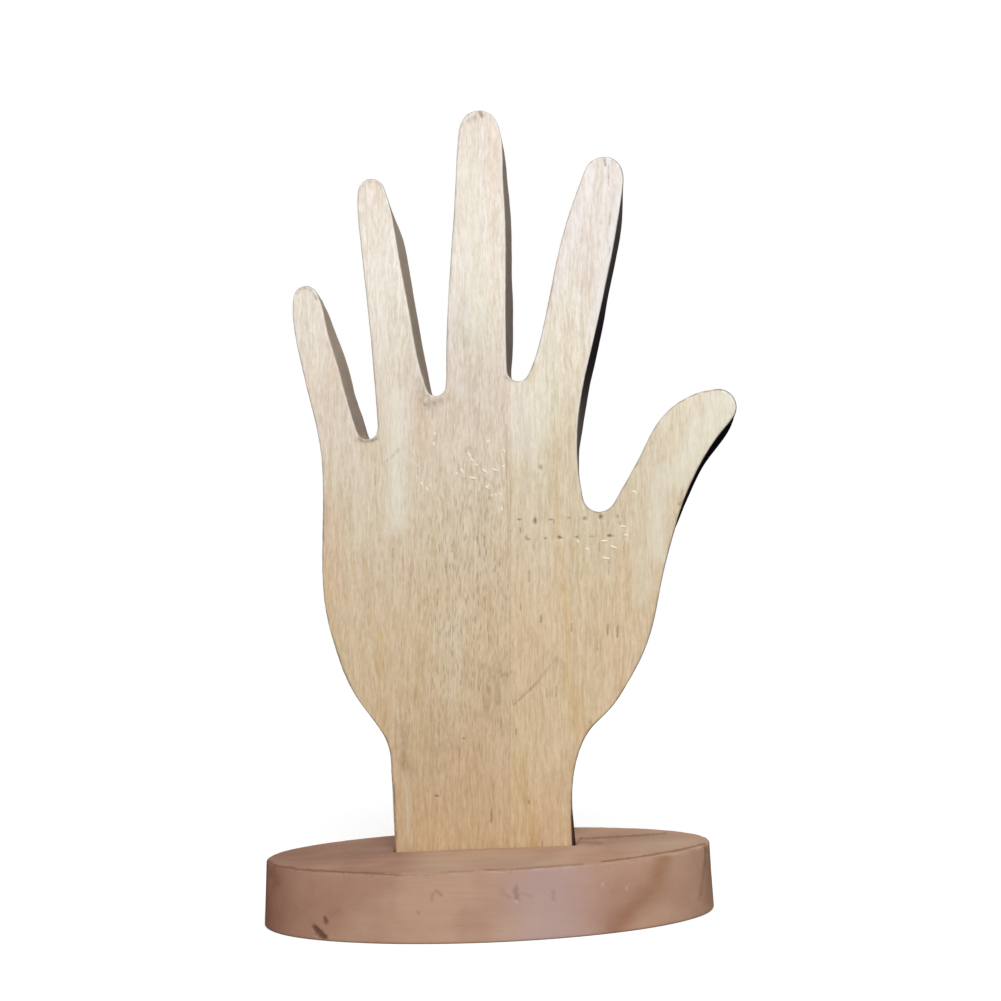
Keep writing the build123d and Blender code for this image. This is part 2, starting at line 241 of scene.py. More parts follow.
# The dark line along the base's front rim, part by part
RIM_LINES = [
    ([(268.6, 861), (274.9, 865.0), (298, 869.2), (347, 872.2), (400.5, 874.8)], 1.2, 0.62),
    ([(400.5, 874.6), (431, 873.6), (472.5, 871.4)], 1.4, 0.32),
    ([(485, 869.6), (508, 870.8), (520, 868.6), (549, 866.6), (583, 864.2)], 1.4, 0.36),
    ([(550, 866.2), (562, 865.6)], 1.8, 0.35),
    ([(602, 861.4), (630.5, 858.2), (653.5, 854.2), (684, 849.0), (705.5, 843.4)], 1.1, 0.60),
]


class CameraSettings(bpy.types.PropertyGroup):
    """Where the camera stands that was fitted to the photograph."""
    distance: FloatProperty(
        name="Distance", description="From the origin, seen from above", default=0.3758, unit="LENGTH")
    azimuth: FloatProperty(
        name="Azimuth", description="To the viewer's right of the front", default=math.radians(8.4),
        unit="ROTATION")
    height: FloatProperty(
        name="Height", description="Of the eye above the table", default=0.07615, unit="LENGTH")
    yaw: FloatProperty(
        name="Yaw", description="Direction of the view from +Y", default=math.radians(7.14), unit="ROTATION")
    pitch: FloatProperty(
        name="Pitch", description="Upward tilt of the view", default=math.radians(2.36), unit="ROTATION")
    roll: FloatProperty(
        name="Roll", description="Turn of the frame about the view", default=math.radians(3.28),
        unit="ROTATION")
    focal_pixels: FloatProperty(
        name="Focal length", description="In pixels of the frame", default=1677.0, subtype="PIXEL")
    frame_pixels: IntProperty(
        name="Frame", description="Width and height of the square frame", default=1001, subtype="PIXEL")


class BoardSettings(bpy.types.PropertyGroup):
    """Shape of the hand's wooden board."""
    lean: FloatProperty(
        name="Grain lean", description="Lean of the grain towards the thumb", default=math.radians(2.9),
        unit="ROTATION")
    front_step: FloatProperty(
        name="Front step", description="Size of a face on the front", default=0.40 * MM, unit="LENGTH")
    back_step: FloatProperty(
        name="Back step", description="Size of a face on the back", default=0.62 * MM, unit="LENGTH")
    arris: FloatProperty(
        name="Arris", description="Usual radius of the sanded edges", default=0.55 * MM, unit="LENGTH")
    arris_change: FloatProperty(
        name="Arris change", description="Share by which that radius varies", default=0.45, subtype="FACTOR")
    joint_arris: FloatProperty(
        name="Joint arris", description="Radius along the glue joint", default=0.02 * MM, unit="LENGTH")
    flat_rim: FloatProperty(
        name="Flat rim", description="Narrow flat strip beside each arris", default=0.03 * MM, unit="LENGTH")
    hollow: FloatProperty(
        name="Hollows", description="Depth of the broad sanding hollows", default=0.10 * MM, unit="LENGTH")
    fibre_relief: FloatProperty(
        name="Fibre relief", description="Depth of the grain that stands out", default=0.03 * MM,
        unit="LENGTH")
    saw_ripple: FloatProperty(
        name="Saw ripple", description="Depth of the saw's marks on the edge", default=0.05 * MM,
        unit="LENGTH")
    pit_depth: FloatProperty(
        name="Pit depth", description="Depth of the deepest pit", default=0.45 * MM, unit="LENGTH")
    scratch_depth: FloatProperty(
        name="Scratch depth", description="Depth of the deepest scratch", default=0.10 * MM, unit="LENGTH")


class BaseSettings(bpy.types.PropertyGroup):
    """Shape of the oval base."""
    length: FloatProperty(name="Length", description="Of the top", default=99 * MM, unit="LENGTH")
    depth: FloatProperty(name="Depth", description="Of the top", default=56 * MM, unit="LENGTH")
    flare: FloatProperty(
        name="Flare", description="How far the foot stands out all round", default=0.65 * MM, unit="LENGTH")
    slide: FloatProperty(
        name="Slide", description="How far the top stands to the right of the foot", default=0.5 * MM,
        unit="LENGTH")
    rim: FloatProperty(name="Rim", description="Usual radius of the rim", default=0.45 * MM, unit="LENGTH")
    step: FloatProperty(name="Step", description="Size of a face", default=0.32 * MM, unit="LENGTH")
    mortise_length: FloatProperty(
        name="Mortise length", description="Inside", default=41.6 * MM, unit="LENGTH")
    mortise_width: FloatProperty(
        name="Mortise width", description="Inside", default=12.2 * MM, unit="LENGTH")
    mortise_depth: FloatProperty(
        name="Mortise depth", description="Below the top", default=8 * MM, unit="LENGTH")
    screw_spacing: FloatProperty(
        name="Screw spacing", description="Between middles", default=24 * MM, unit="LENGTH")
    hole_radius: FloatProperty(
        name="Hole radius", description="Round the shank", default=1.95 * MM, unit="LENGTH")
    mouth_radius: FloatProperty(
        name="Mouth radius", description="Round the head", default=3.6 * MM, unit="LENGTH")
    seat_depth: FloatProperty(
        name="Seat depth", description="Straight part of the mouth", default=0.7 * MM, unit="LENGTH")


class StageSettings(bpy.types.PropertyGroup):
    """Light and floor."""
    key_level: FloatProperty(
        name="Key level", description="Light from the front, on the palm", default=0.75, subtype="FACTOR")
    back_level: FloatProperty(
        name="Back level", description="Light from behind, on the back", default=0.50, subtype="FACTOR")
    fill_level: FloatProperty(
        name="Fill level", description="Even light from all round", default=0.30, subtype="FACTOR")
    floor_size: FloatProperty(name="Floor size", description="Edge of the floor", default=6.0, unit="LENGTH")


# Where a pixel of the photograph lies on the object

def camera_axes(view):
    """The camera's right, down and forward directions."""
    forward = Vector((-math.sin(view.yaw) * math.cos(view.pitch), math.cos(view.yaw) * math.cos(view.pitch),
                      math.sin(view.pitch)))
    level_right = Vector((math.cos(view.yaw), math.sin(view.yaw), 0))
    plumb_down = forward.cross(level_right)
    right = math.cos(view.roll) * level_right + math.sin(view.roll) * plumb_down
    down = math.cos(view.roll) * plumb_down - math.sin(view.roll) * level_right
    return right, down, forward


def camera_eye(view):
    across = view.distance * math.sin(view.azimuth)
    back = -view.distance * math.cos(view.azimuth)
    return Vector((across, back, view.height))


def sight(view, pixel):
    """The eye, and the direction in which it sees a pixel."""
    right, down, forward = camera_axes(view)
    across = (pixel[0] - view.frame_pixels / 2) / view.focal_pixels
    below = (pixel[1] - view.frame_pixels / 2) / view.focal_pixels
    return camera_eye(view), forward + across * right + below * down


def on_face(view, pixel):
    """A pixel's place (x, z) on the plane of the board's front face."""
    eye, way = sight(view, pixel)
    spot = eye - way * (eye.y / way.y)
    return spot.x, spot.z


def pixels_of(view, points):
    """The pixels at which points (x, y, z) are seen."""
    right, down, forward = (np.array(axis) for axis in camera_axes(view))
    away = points - np.array(camera_eye(view))
    scale = view.focal_pixels / (away @ forward)
    return np.stack([away @ right * scale, away @ down * scale], axis=1) + view.frame_pixels / 2


# Shapes in numbers

NOISE_CELLS = 256
# Height of a row of even triangles as a share of their edge, and how far their corners stray
ROW_SHARE = math.sqrt(0.75)
STRAY_SHARE = 0.12
# The mesh near small marks: how far from them it is finer, in steps, and how many times finer it is
FINE_REACH = 1.5
FINE_PARTS = 3
# How far a new point stays from an outline, in steps
CLEAR_STEPS = 0.7
# Points of a filled face nearer to each other than this, in millimetres, count as one
SAME_SPOT = 1e-6
# The inner corner whose insets grow no longer, as the cosine of half its turn
SHARPEST_MITRE = 0.6


def value_noise(across, along, size, seed):
    """Smooth noise from -1 to 1 over a plane, in waves of a given width and length.

    The same seed gives the same noise each time.
    """
    table = np.random.default_rng(seed).uniform(-1.0, 1.0, (NOISE_CELLS, NOISE_CELLS))
    across = across / size[0]
    along = along / size[1]
    column = np.floor(across).astype(int)
    row = np.floor(along).astype(int)
    u = across - column
    v = along - row
    u = u * u * (3 - 2 * u)
    v = v * v * (3 - 2 * v)
    left = column % NOISE_CELLS
    right = (column + 1) % NOISE_CELLS
    low = row % NOISE_CELLS
    high = (row + 1) % NOISE_CELLS
    near = table[left, low] * (1 - u) + table[right, low] * u
    far = table[left, high] * (1 - u) + table[right, high] * u
    return near * (1 - v) + far * v


def noise_share(across, along, size, seed):
    """The same noise from 0 to 1."""
    return (1 + value_noise(across, along, size, seed)) / 2


def patchy(across, along, size, seed, level, swing):
    """A mask from 0 to 1 that swings about a level."""
    return np.clip(level + swing * value_noise(across, along, size, seed), 0, 1)


def distance_to_line(points, line):
    """How far each point is from a broken line."""
    best = np.full(len(points), np.inf)
    for start, end in zip(line, line[1:]):
        start = np.array(start)
        way = np.array(end) - start
        share = np.clip((points - start) @ way / (way @ way), 0, 1)
        best = np.minimum(best, np.linalg.norm(points - start - share[:, None] * way, axis=1))
    return best


def soft_spot(distance, reach):
    """A mask that is 1 on the mark and fades to 0 past its half width."""
    return np.exp(-(distance / reach) ** 2)


def inside(points, loop):
    """Which points lie inside a closed loop."""
    odd = np.zeros(len(points), bool)
    for start, end in zip(loop, np.roll(loop, -1, axis=0)):
        if start[1] == end[1]:
            continue
        crosses = (points[:, 1] > start[1]) != (points[:, 1] > end[1])
        where = start[0] + (points[:, 1] - start[1]) * (end[0] - start[0]) / (end[1] - start[1])
        odd ^= crosses & (points[:, 0] < where)
    return odd


def strayed(points, step, seed):
    """Points of an even grid, each a little out of line."""
    return points + np.random.default_rng(seed).uniform(-STRAY_SHARE, STRAY_SHARE, points.shape) * step


def even_grid(low, high, step, seed):
    """Points of a triangle grid over a rectangle."""
    rows = np.arange(low[1], high[1], step * ROW_SHARE)
    columns = np.arange(low[0], high[0], step)
    x, z = np.meshgrid(columns, rows)
    x[1::2] += step / 2
    return strayed(np.stack([x.ravel(), z.ravel()], axis=1), step, seed)


def grid_spots(places, step):
    """The points of a triangle grid that stand at the given columns and rows."""
    spots = places * (step, step * ROW_SHARE)
    spots[:, 0] += (places[:, 1] % 2) * step / 2
    return spots


def grid_near(lines, step, reach, seed):
    """Points of a fine triangle grid within reach of any of the lines, each point once."""
    row_step = step * ROW_SHARE
    chosen = []
    for line in lines:
        low = np.min(line, axis=0) - reach
        high = np.max(line, axis=0) + reach
        columns, rows = np.meshgrid(np.arange(math.floor(low[0] / step), math.ceil(high[0] / step)),
                                    np.arange(math.floor(low[1] / row_step), math.ceil(high[1] / row_step)))
        places = np.stack([columns.ravel(), rows.ravel()], axis=1)
        chosen.append(places[distance_to_line(grid_spots(places, step), line) < reach])
    places = np.unique(np.concatenate(chosen), axis=0)
    return strayed(grid_spots(places, step), step, seed)


def points_within(loops, step, seed, fine_lines):
    """Points of a grid inside the first loop and outside the others, clear of them all."""
    outline = loops[0]
    points = even_grid(outline.min(0), outline.max(0), step, seed)
    if fine_lines:
        reach = FINE_REACH * step
        near = np.min([distance_to_line(points, line) for line in fine_lines], axis=0)
        fine = grid_near(fine_lines, step / FINE_PARTS, reach, seed + 1)
        points = np.concatenate([points[near > reach], fine])
    points = points[inside(points, outline)]
    for hole in loops[1:]:
        points = points[~inside(points, hole)]
    edge = np.concatenate(loops)
    tree = KDTree(len(edge))
    for place, spot in enumerate(edge):
        tree.insert((spot[0], spot[1], 0), place)
    tree.balance()
    clear = np.array([tree.find((p[0], p[1], 0))[2] for p in points]) > CLEAR_STEPS * step
    return points[clear]


def fill(loops, step, seed, fine_lines=()):
    """Points inside the first loop and outside the others, and the triangles between all of them.

    The triangles count through the loops' points first and then through the new ones.
    """
    points = points_within(loops, step, seed, fine_lines)
    everything = np.concatenate(loops + [points])
    spots = [Vector(p) for p in everything / MM]
    rims = []
    first = 0
    for loop in loops:
        rims.append(list(range(first, first + len(loop))))
        first += len(loop)
    edges = [(a, b) for rim in rims[1:] for a, b in zip(rim, rim[1:] + rim[:1])]
    found = delaunay_2d_cdt(spots, edges, [rims[0]], 1, SAME_SPOT)
    if len(found[0]) != len(spots):
        raise ValueError("a filled face needs points that the outline doesn't have")
    source = [origin[0] for origin in found[3]]
    triangles = np.array([[source[v] for v in triangle] for triangle in found[2]])
    for hole in loops[1:]:
        triangles = triangles[~inside(everything[triangles].mean(axis=1), hole)]
    return points, triangles


def even_run(points, step):
    """Points at even steps along a smooth line through the given ones, without the last."""
    lengths = np.linalg.norm(np.diff(points, axis=0), axis=1)
    places = np.concatenate([[0], np.cumsum(lengths)])
    slopes = np.diff(points, axis=0) / lengths[:, None]
    tangents = np.concatenate([slopes[:1], slopes[-1:]])
    if len(points) > 2:
        before = lengths[:-1, None]
        after = lengths[1:, None]
        middle = (after * slopes[:-1] + before * slopes[1:]) / (before + after)
        tangents = np.concatenate([slopes[:1], middle, slopes[-1:]])
    count = max(2, round(places[-1] / step))
    wanted = np.linspace(0, places[-1], count + 1)[:-1]
    part = np.clip(np.searchsorted(places, wanted, side="right") - 1, 0, len(lengths) - 1)
    share = ((wanted - places[part]) / lengths[part])[:, None]
    span = lengths[part][:, None]
    return ((2 * share ** 3 - 3 * share ** 2 + 1) * points[part]
            + (share ** 3 - 2 * share ** 2 + share) * span * tangents[part]
            + (3 * share ** 2 - 2 * share ** 3) * points[part + 1]
            + (share ** 3 - share ** 2) * span * tangents[part + 1])


def outward_of(loop):
    """Outward directions of a counter-clockwise loop, and how much longer they are at its corners."""
    ahead = np.roll(loop, -1, axis=0) - loop
    ahead /= np.linalg.norm(ahead, axis=1)[:, None]
    behind = np.roll(ahead, 1, axis=0)
    out_ahead = np.stack([ahead[:, 1], -ahead[:, 0]], axis=1)
    out_behind = np.stack([behind[:, 1], -behind[:, 0]], axis=1)
    out = out_ahead + out_behind
    out /= np.linalg.norm(out, axis=1)[:, None]
    mitre = 1 / np.clip(np.sum(out * out_ahead, axis=1), SHARPEST_MITRE, 1)
    return out, mitre


def smoothed(values, rounds):
    """Values round a loop, each averaged with its neighbours a number of times."""
    for _ in range(rounds):
        values = (np.roll(values, 1) + 2 * values + np.roll(values, -1)) / 4
    return values


def standing(flat, y):
    """Points (x, z) of a flat shape, or of a ring, that stands at the depth y."""
    return np.column_stack([flat[:, 0], np.full(len(flat), y), flat[:, 1]])


def lying(flat, z):
    """Points (x, y) of a flat shape, or of a ring, that lies at the height z."""
    return np.column_stack([flat, np.full(len(flat), z)])


class Shell:
    """The points of a piece as they are laid, the way each faces, its share of rounding, and the faces."""

    def __init__(self):
        self.points = []
        self.facing = []
        self.rounding = []
        self.faces = []
        self.total = 0

    def lay(self, points, facing, rounding=0.0):
        """Adds points and gives the number of the first."""
        first = self.total
        self.points.append(points)
        self.facing.append(np.broadcast_to(np.array(facing, float), points.shape))
        self.rounding.append(np.full(len(points), rounding))
        self.total += len(points)
        return first

    def join(self, first, second, count):
        """Joins two closed rings of as many points, given by the number of each ring's first point."""
        here = np.arange(count)
        ahead = (here + 1) % count
        self.faces += np.stack([first + here, second + here, second + ahead, first + ahead], axis=1).tolist()

    def join_rings(self, rings, count):
        """Joins the first rings, which are as many points each and were laid one after another."""
        for ring in range(rings - 1):
            self.join(ring * count, (ring + 1) * count, count)

    def cover(self, loops, firsts, placed, level, facing, step, seed, turned, fine_lines=()):
        """Closes the first loop with a flat face at a level, and leaves the other loops open."""
        inner, triangles = fill(loops, step, seed, fine_lines)
        first = self.lay(placed(inner, level), facing)
        numbers = [start + np.arange(len(loop)) for start, loop in zip(firsts, loops)]
        triangles = np.concatenate(numbers + [first + np.arange(len(inner))])[triangles]
        self.faces += (triangles[:, ::-1] if turned else triangles).tolist()

    def arrays(self):
        """All points, facing directions and shares of rounding."""
        return np.concatenate(self.points), np.concatenate(self.facing), np.concatenate(self.rounding)


def mesh_piece(name, points, faces, marks, material):
    """A mesh object at the origin with its painted marks as attributes."""
    mesh = bpy.data.meshes.new(name)
    mesh.from_pydata(points.tolist(), [], faces)
    mesh.validate()
    for label, values in marks.items():
        attribute = mesh.attributes.new(label, "FLOAT", "POINT")
        attribute.data.foreach_set("value", np.asarray(values, np.float32))
    mesh.shade_smooth()
    mesh.materials.append(material)
    piece = bpy.data.objects.new(name, mesh)
    bpy.context.scene.collection.objects.link(piece)
    return piece


# The hand's two staves

# What a point of a stave's outline lies on
FREE, JOINT, FOOT = 0, 1, 2
# Reading the outline from the solid: how far behind the front, and what counts as one point, as one
# place, as a gap, as a corner and as straight
OUTLINE_DEPTH = 0.5 * MM
WELD = 0.001 * MM
CUT_SLACK = 0.003 * MM
LEAST_GAP = 0.03 * MM
CORNER_TURN = math.radians(30)
STRAIGHT_SLACK = 0.01 * MM
# The rounded edges: bends of their rings, rows of the sawn edge between them, radius at the foot
ARRIS_BENDS = np.radians([0, 22.5, 45, 67.5, 90])
WALL_ROWS = 11
FOOT_ARRIS = 0.2 * MM
NICK_SHARE = 0.5
# How often values round the outline are smoothed, and how strongly the joint's radius spreads
FREE_ROUNDS = 2
RADIUS_ROUNDS = 3
SHADE_ROUNDS = 4
JOINT_ROUNDS = 6
LEAN_ROUNDS = 36
JOINT_SPREAD = 4
# How far an edge has to face right for the tables of its lean and shade to hold in full
RIGHTWARD = 0.3
# Reach of a table's places in pixels, and the weight of nothing beside them
LEAN_BLEND = (13.0, 0.06)
SHADE_BLEND = (34.0, 0.01)
# A dash's half length as a share of its length, its slant, and its half width by darkness, in pixels
DASH_HALF = 0.38
DASH_SLANT = 0.3
DASH_WIDTH = 0.55
DASH_WIDTH_GAIN = 0.5
# The length of the line that stands for a pit, in pixels
PIT_LINE = 0.1
# A pit's edge: how ragged and how steep it is, and its darkness by depth
PIT_RAG_SHARE = 0.4
PIT_STEEPNESS = 1.2
PIT_DIRT = 0.25
PIT_DIRT_GAIN = 0.6
# Noise on the board: width and length of its waves, and seed; along an edge alone only the width counts
HOLLOWS = ((17 * MM, 26 * MM), 3)
FINE_FIBRES = ((0.8 * MM, 16 * MM), 5)
BROAD_FIBRES = ((2.2 * MM, 50 * MM), 6)
BACK_HOLLOWS = ((19 * MM, 30 * MM), 41)
BACK_FIBRES = ((1.1 * MM, 20 * MM), 42)
ARRIS_WAVES = ((6 * MM, 6 * MM), 21)
ARRIS_NICKS = ((1.2 * MM, MM), 22)
FINE_SAW_LINES = ((0.9 * MM, 20 * MM), 43)
BROAD_SAW_LINES = ((4 * MM, 8 * MM), 44)
# Where two more numbers follow the seed, they are a mask's level and swing
ROUGH_ARRIS = ((1.1 * MM, 10 * MM), 45, 0.5, 0.9)
# Noise on its marks, with waves in pixels
PIT_RAG = ((1.1, 1.4), 8)
SCRATCH_BREAKS = ((2.0, 2.5), 9, 0.75, 0.35)
SMUDGE_SPECKLE = ((1.6, 4.0), 14, 0.6, 0.55)
STREAK_WAVER = ((3.0, 70.0), 15, 0.78, 0.22)
FACE_SEED = 31
# The fingers, where the edges are cleaner and paler: from which height, and over how much they begin
FINGERS_FROM = 85 * MM
FINGERS_FADE = 25 * MM
# Dirt on the rounded edges: everywhere, more where they face left or up, less on the fingers
ARRIS_DIRT = 0.20
LEFT_DIRT = 0.45
CREST_DIRT = 0.80
FINGER_CLEAN = 0.6
# How fast the fingers' worn edges begin as they face right, and how flecked the back is
WORN_GAIN = 1.4
BACK_FLECKED = 0.5
# How much of the saw's ripple an edge loses where burn and painted shade darken it
BURN_AND_SHADE_SMOOTH = 0.8


def cad_outline(node):
    """A stave's outline, in order and counter-clockwise as the viewer sees it."""
    solid = bmesh.new()
    solid.from_mesh(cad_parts[node].data)
    bmesh.ops.remove_doubles(solid, verts=solid.verts, dist=WELD)
    everything = list(solid.verts) + list(solid.edges) + list(solid.faces)
    cut = bmesh.ops.bisect_plane(solid, geom=everything, dist=CUT_SLACK, plane_co=(0, OUTLINE_DEPTH, 0),
                                 plane_no=(0, 1, 0))
    beside = {}
    for edge in cut["geom_cut"]:
        if isinstance(edge, bmesh.types.BMEdge):
            one, other = edge.verts
            beside.setdefault(one, []).append(other)
            beside.setdefault(other, []).append(one)
    start = min(beside, key=lambda vertex: (round(vertex.co.z / MM, 2), vertex.co.x))
    loop = []
    before = None
    here = start
    while here is not start or not loop:
        loop.append((here.co.x, here.co.z))
        after = beside[here][0] if beside[here][0] is not before else beside[here][1]
        before = here
        here = after
    solid.free()
    loop = np.array(loop)
    gap = np.linalg.norm(loop - np.roll(loop, 1, axis=0), axis=1)
    loop = loop[gap > LEAST_GAP]
    ahead = np.roll(loop, -1, axis=0)
    area = np.sum(loop[:, 0] * ahead[:, 1] - ahead[:, 0] * loop[:, 1])
    if area < 0:
        loop = np.concatenate([loop[:1], loop[:0:-1]])
    return loop


def corners_of(loop):
    """The numbers of a loop's sharp corners."""
    way = np.roll(loop, -1, axis=0) - loop
    heading = np.arctan2(way[:, 1], way[:, 0])
    turn = heading - np.roll(heading, 1)
    turn = np.abs((turn + math.pi) % (2 * math.pi) - math.pi)
    return np.flatnonzero(turn > CORNER_TURN)


def stave_outline(node, board):
    """Evenly spaced outline, and what each of its points lies on."""
    loop = cad_outline(node)
    corners = corners_of(loop)
    points = []
    kinds = []
    for first, last in zip(corners, np.roll(corners, -1)):
        numbers = np.arange(first, last + 1 if last > first else last + 1 + len(loop)) % len(loop)
        run = loop[numbers]
        straight = np.linalg.norm(run[-1] - run[0])
        length = np.linalg.norm(np.diff(run, axis=0), axis=1).sum()
        kind = FREE
        if length - straight < STRAIGHT_SLACK:
            kind = FOOT if abs(run[0][1] - run[-1][1]) < STRAIGHT_SLACK else JOINT
        even = even_run(run, board.front_step)
        points.append(even)
        kinds.append(np.full(len(even), kind))
    return np.concatenate(points), np.concatenate(kinds)


def grain_place(x, z, lean):
    """Where a point of the board is across and along its grain."""
    return x * math.cos(lean) - z * math.sin(lean), x * math.sin(lean) + z * math.cos(lean)


def face_pixels(view, x, z):
    """The pixels at which points of the board's front face are seen."""
    return pixels_of(view, np.stack([x, np.zeros(len(x)), z], axis=1))


def blended(spots, table, reach, rest):
    """Values from a table of (pixel, value), blended by nearness, at the given pixels.

    The rest is the weight of nothing, to which the values fade far from every place in the table.
    """
    total = np.full(len(spots), rest)
    found = np.zeros(len(spots))
    for pixel, value in table:
        weight = np.exp(-np.sum((spots - pixel) ** 2, axis=1) / reach ** 2)
        total += weight
        found += weight * value
    return found / total


def dash_lines():
    """The dashes as short upright lines with their half width and darkness."""
    lines = []
    for (across, down), length, darkness in DASHES:
        half = DASH_HALF * length
        ends = [(across, down - half), (across - DASH_SLANT, down + half)]
        lines.append((ends, DASH_WIDTH + DASH_WIDTH_GAIN * darkness, darkness))
    return lines


def fine_marks(view):
    """The lines (x, z) on the face near which its mesh has to be fine."""
    lines = [line for line, _, _ in dash_lines() + SCRATCHES]
    lines += [[middle, (middle[0], middle[1] + PIT_LINE)] for middle, _, _, _ in PITS]
    return [[on_face(view, pixel) for pixel in line] for line in lines]


def streaked(spots, streaks, waver):
    """How strongly each pixel lies in one of the streaks."""
    mask = np.zeros(len(spots))
    for line, width, strength in streaks:
        mask = np.maximum(mask, soft_spot(distance_to_line(spots, line), width) * strength * waver)
    return mask


def carve_face(view, board, x, z):
    """How deep the board's front lies below its plane, and its painted marks, at points (x, z)."""
    spots = face_pixels(view, x, z)
    seen = (spots[:, 0], spots[:, 1])
    across, along = grain_place(x, z, board.lean)
    depth = board.hollow * noise_share(x, z, *HOLLOWS)
    depth += board.fibre_relief * noise_share(across, along, *FINE_FIBRES)
    depth += board.fibre_relief * noise_share(across, along, *BROAD_FIBRES)
    ragged = 1 + PIT_RAG_SHARE * value_noise(*seen, *PIT_RAG)
    dirt_and_shadow = np.zeros(len(x))
    for middle, half_width, half_height, share in PITS:
        away = (spots - middle) / (half_width, half_height)
        mask = np.exp(-ragged * np.sum(away ** 2, axis=1) ** PIT_STEEPNESS)
        depth += board.pit_depth * share * mask
        dirt_and_shadow = np.maximum(dirt_and_shadow, mask * (PIT_DIRT + PIT_DIRT_GAIN * share))
    breaks = patchy(*seen, *SCRATCH_BREAKS)
    for line, width, strength in SCRATCHES + dash_lines():
        mask = soft_spot(distance_to_line(spots, line), width) * strength
        depth += board.scratch_depth * mask
        dirt_and_shadow = np.maximum(dirt_and_shadow, mask * breaks)
    dirt_and_shadow = np.maximum(dirt_and_shadow, streaked(spots, SMUDGES, patchy(*seen, *SMUDGE_SPECKLE)))
    waver = patchy(*seen, *STREAK_WAVER)
    middle, half_width, half_height = FLECKED
    away = (spots - middle) / (half_width, half_height)
    marks = {
        "dirt_and_shadow": dirt_and_shadow,
        "honey": streaked(spots, HONEY_STREAKS, waver),
        "pink": streaked(spots, PINK_STREAKS, waver),
        "pale": streaked(spots, PALE_STREAKS, waver),
        "cool": streaked(spots, COOL_STREAKS, waver),
        "flecked": np.exp(-np.sum(away ** 2, axis=1)),
    }
    return depth, marks


def arris_radii(board, loop, kinds, run):
    """The radius of the rounded edges at each point of a stave's outline."""
    change = value_noise(loop[:, 0], loop[:, 1], *ARRIS_WAVES)
    change += NICK_SHARE * value_noise(run, run * 0, *ARRIS_NICKS)
    radius = board.arris * (1 + board.arris_change * change)
    radius[kinds == JOINT] = board.joint_arris
    radius[kinds == FOOT] = FOOT_ARRIS
    at_joint = np.clip(JOINT_SPREAD * smoothed((kinds == JOINT).astype(float), JOINT_ROUNDS), 0, 1)
    return smoothed(radius, RADIUS_ROUNDS) * (1 - at_joint) + board.joint_arris * at_joint


def edge_lean_and_shade(view, loop, out, free):
    """How far the sawn edge leans out at the back, and its painted shade and burn, at each point of an
    outline.
    """
    spots = face_pixels(view, loop[:, 0], loop[:, 1])
    rightward = np.clip(out[:, 0] / RIGHTWARD, 0, 1) * free
    lean = smoothed(blended(spots, RIGHT_LEAN, *LEAN_BLEND) * rightward, LEAN_ROUNDS) * free * MM
    shade = smoothed(blended(spots, RIGHT_SHADE, *SHADE_BLEND) * rightward, SHADE_ROUNDS)
    return lean, shade


def stave_shell(view, board, loop, radius, lean, back):
    """A stave's rings, from its front round the sawn edge to its back, and its two flat faces."""
    count = len(loop)
    out, mitre = outward_of(loop)
    shell = Shell()

    def add_ring(inset, deep, tilt):
        """A ring round the piece: how far in and how deep, and its tilt from front to side to back."""
        flat = loop + out * (lean * deep / back - inset * mitre)[:, None]
        facing = standing(out * math.sin(tilt), -math.cos(tilt))
        shell.lay(standing(flat, deep), facing, abs(math.sin(2 * tilt)))

    add_ring(radius + board.flat_rim, radius * 0, 0)
    for bend in ARRIS_BENDS:
        add_ring(radius * (1 - math.sin(bend)), radius * (1 - math.cos(bend)), bend)
    for share in np.linspace(0, 1, WALL_ROWS + 2)[1:-1]:
        add_ring(radius * 0, radius + (back - 2 * radius) * share, math.pi / 2)
    for bend in reversed(ARRIS_BENDS):
        add_ring(radius * (1 - math.sin(bend)), back - radius * (1 - math.cos(bend)), math.pi - bend)
    add_ring(radius + board.flat_rim, radius * 0 + back, math.pi)

    rings = len(shell.points)
    shell.join_rings(rings, count)
    front_rim = shell.points[0][:, [0, 2]]
    back_rim = shell.points[-1][:, [0, 2]]
    shell.cover([front_rim], [0], standing, 0.0, (0, -1, 0), board.front_step, FACE_SEED, False,
                fine_marks(view))
    shell.cover([back_rim], [(rings - 1) * count], standing, back, (0, 1, 0), board.back_step,
                FACE_SEED, True)
    return shell, rings


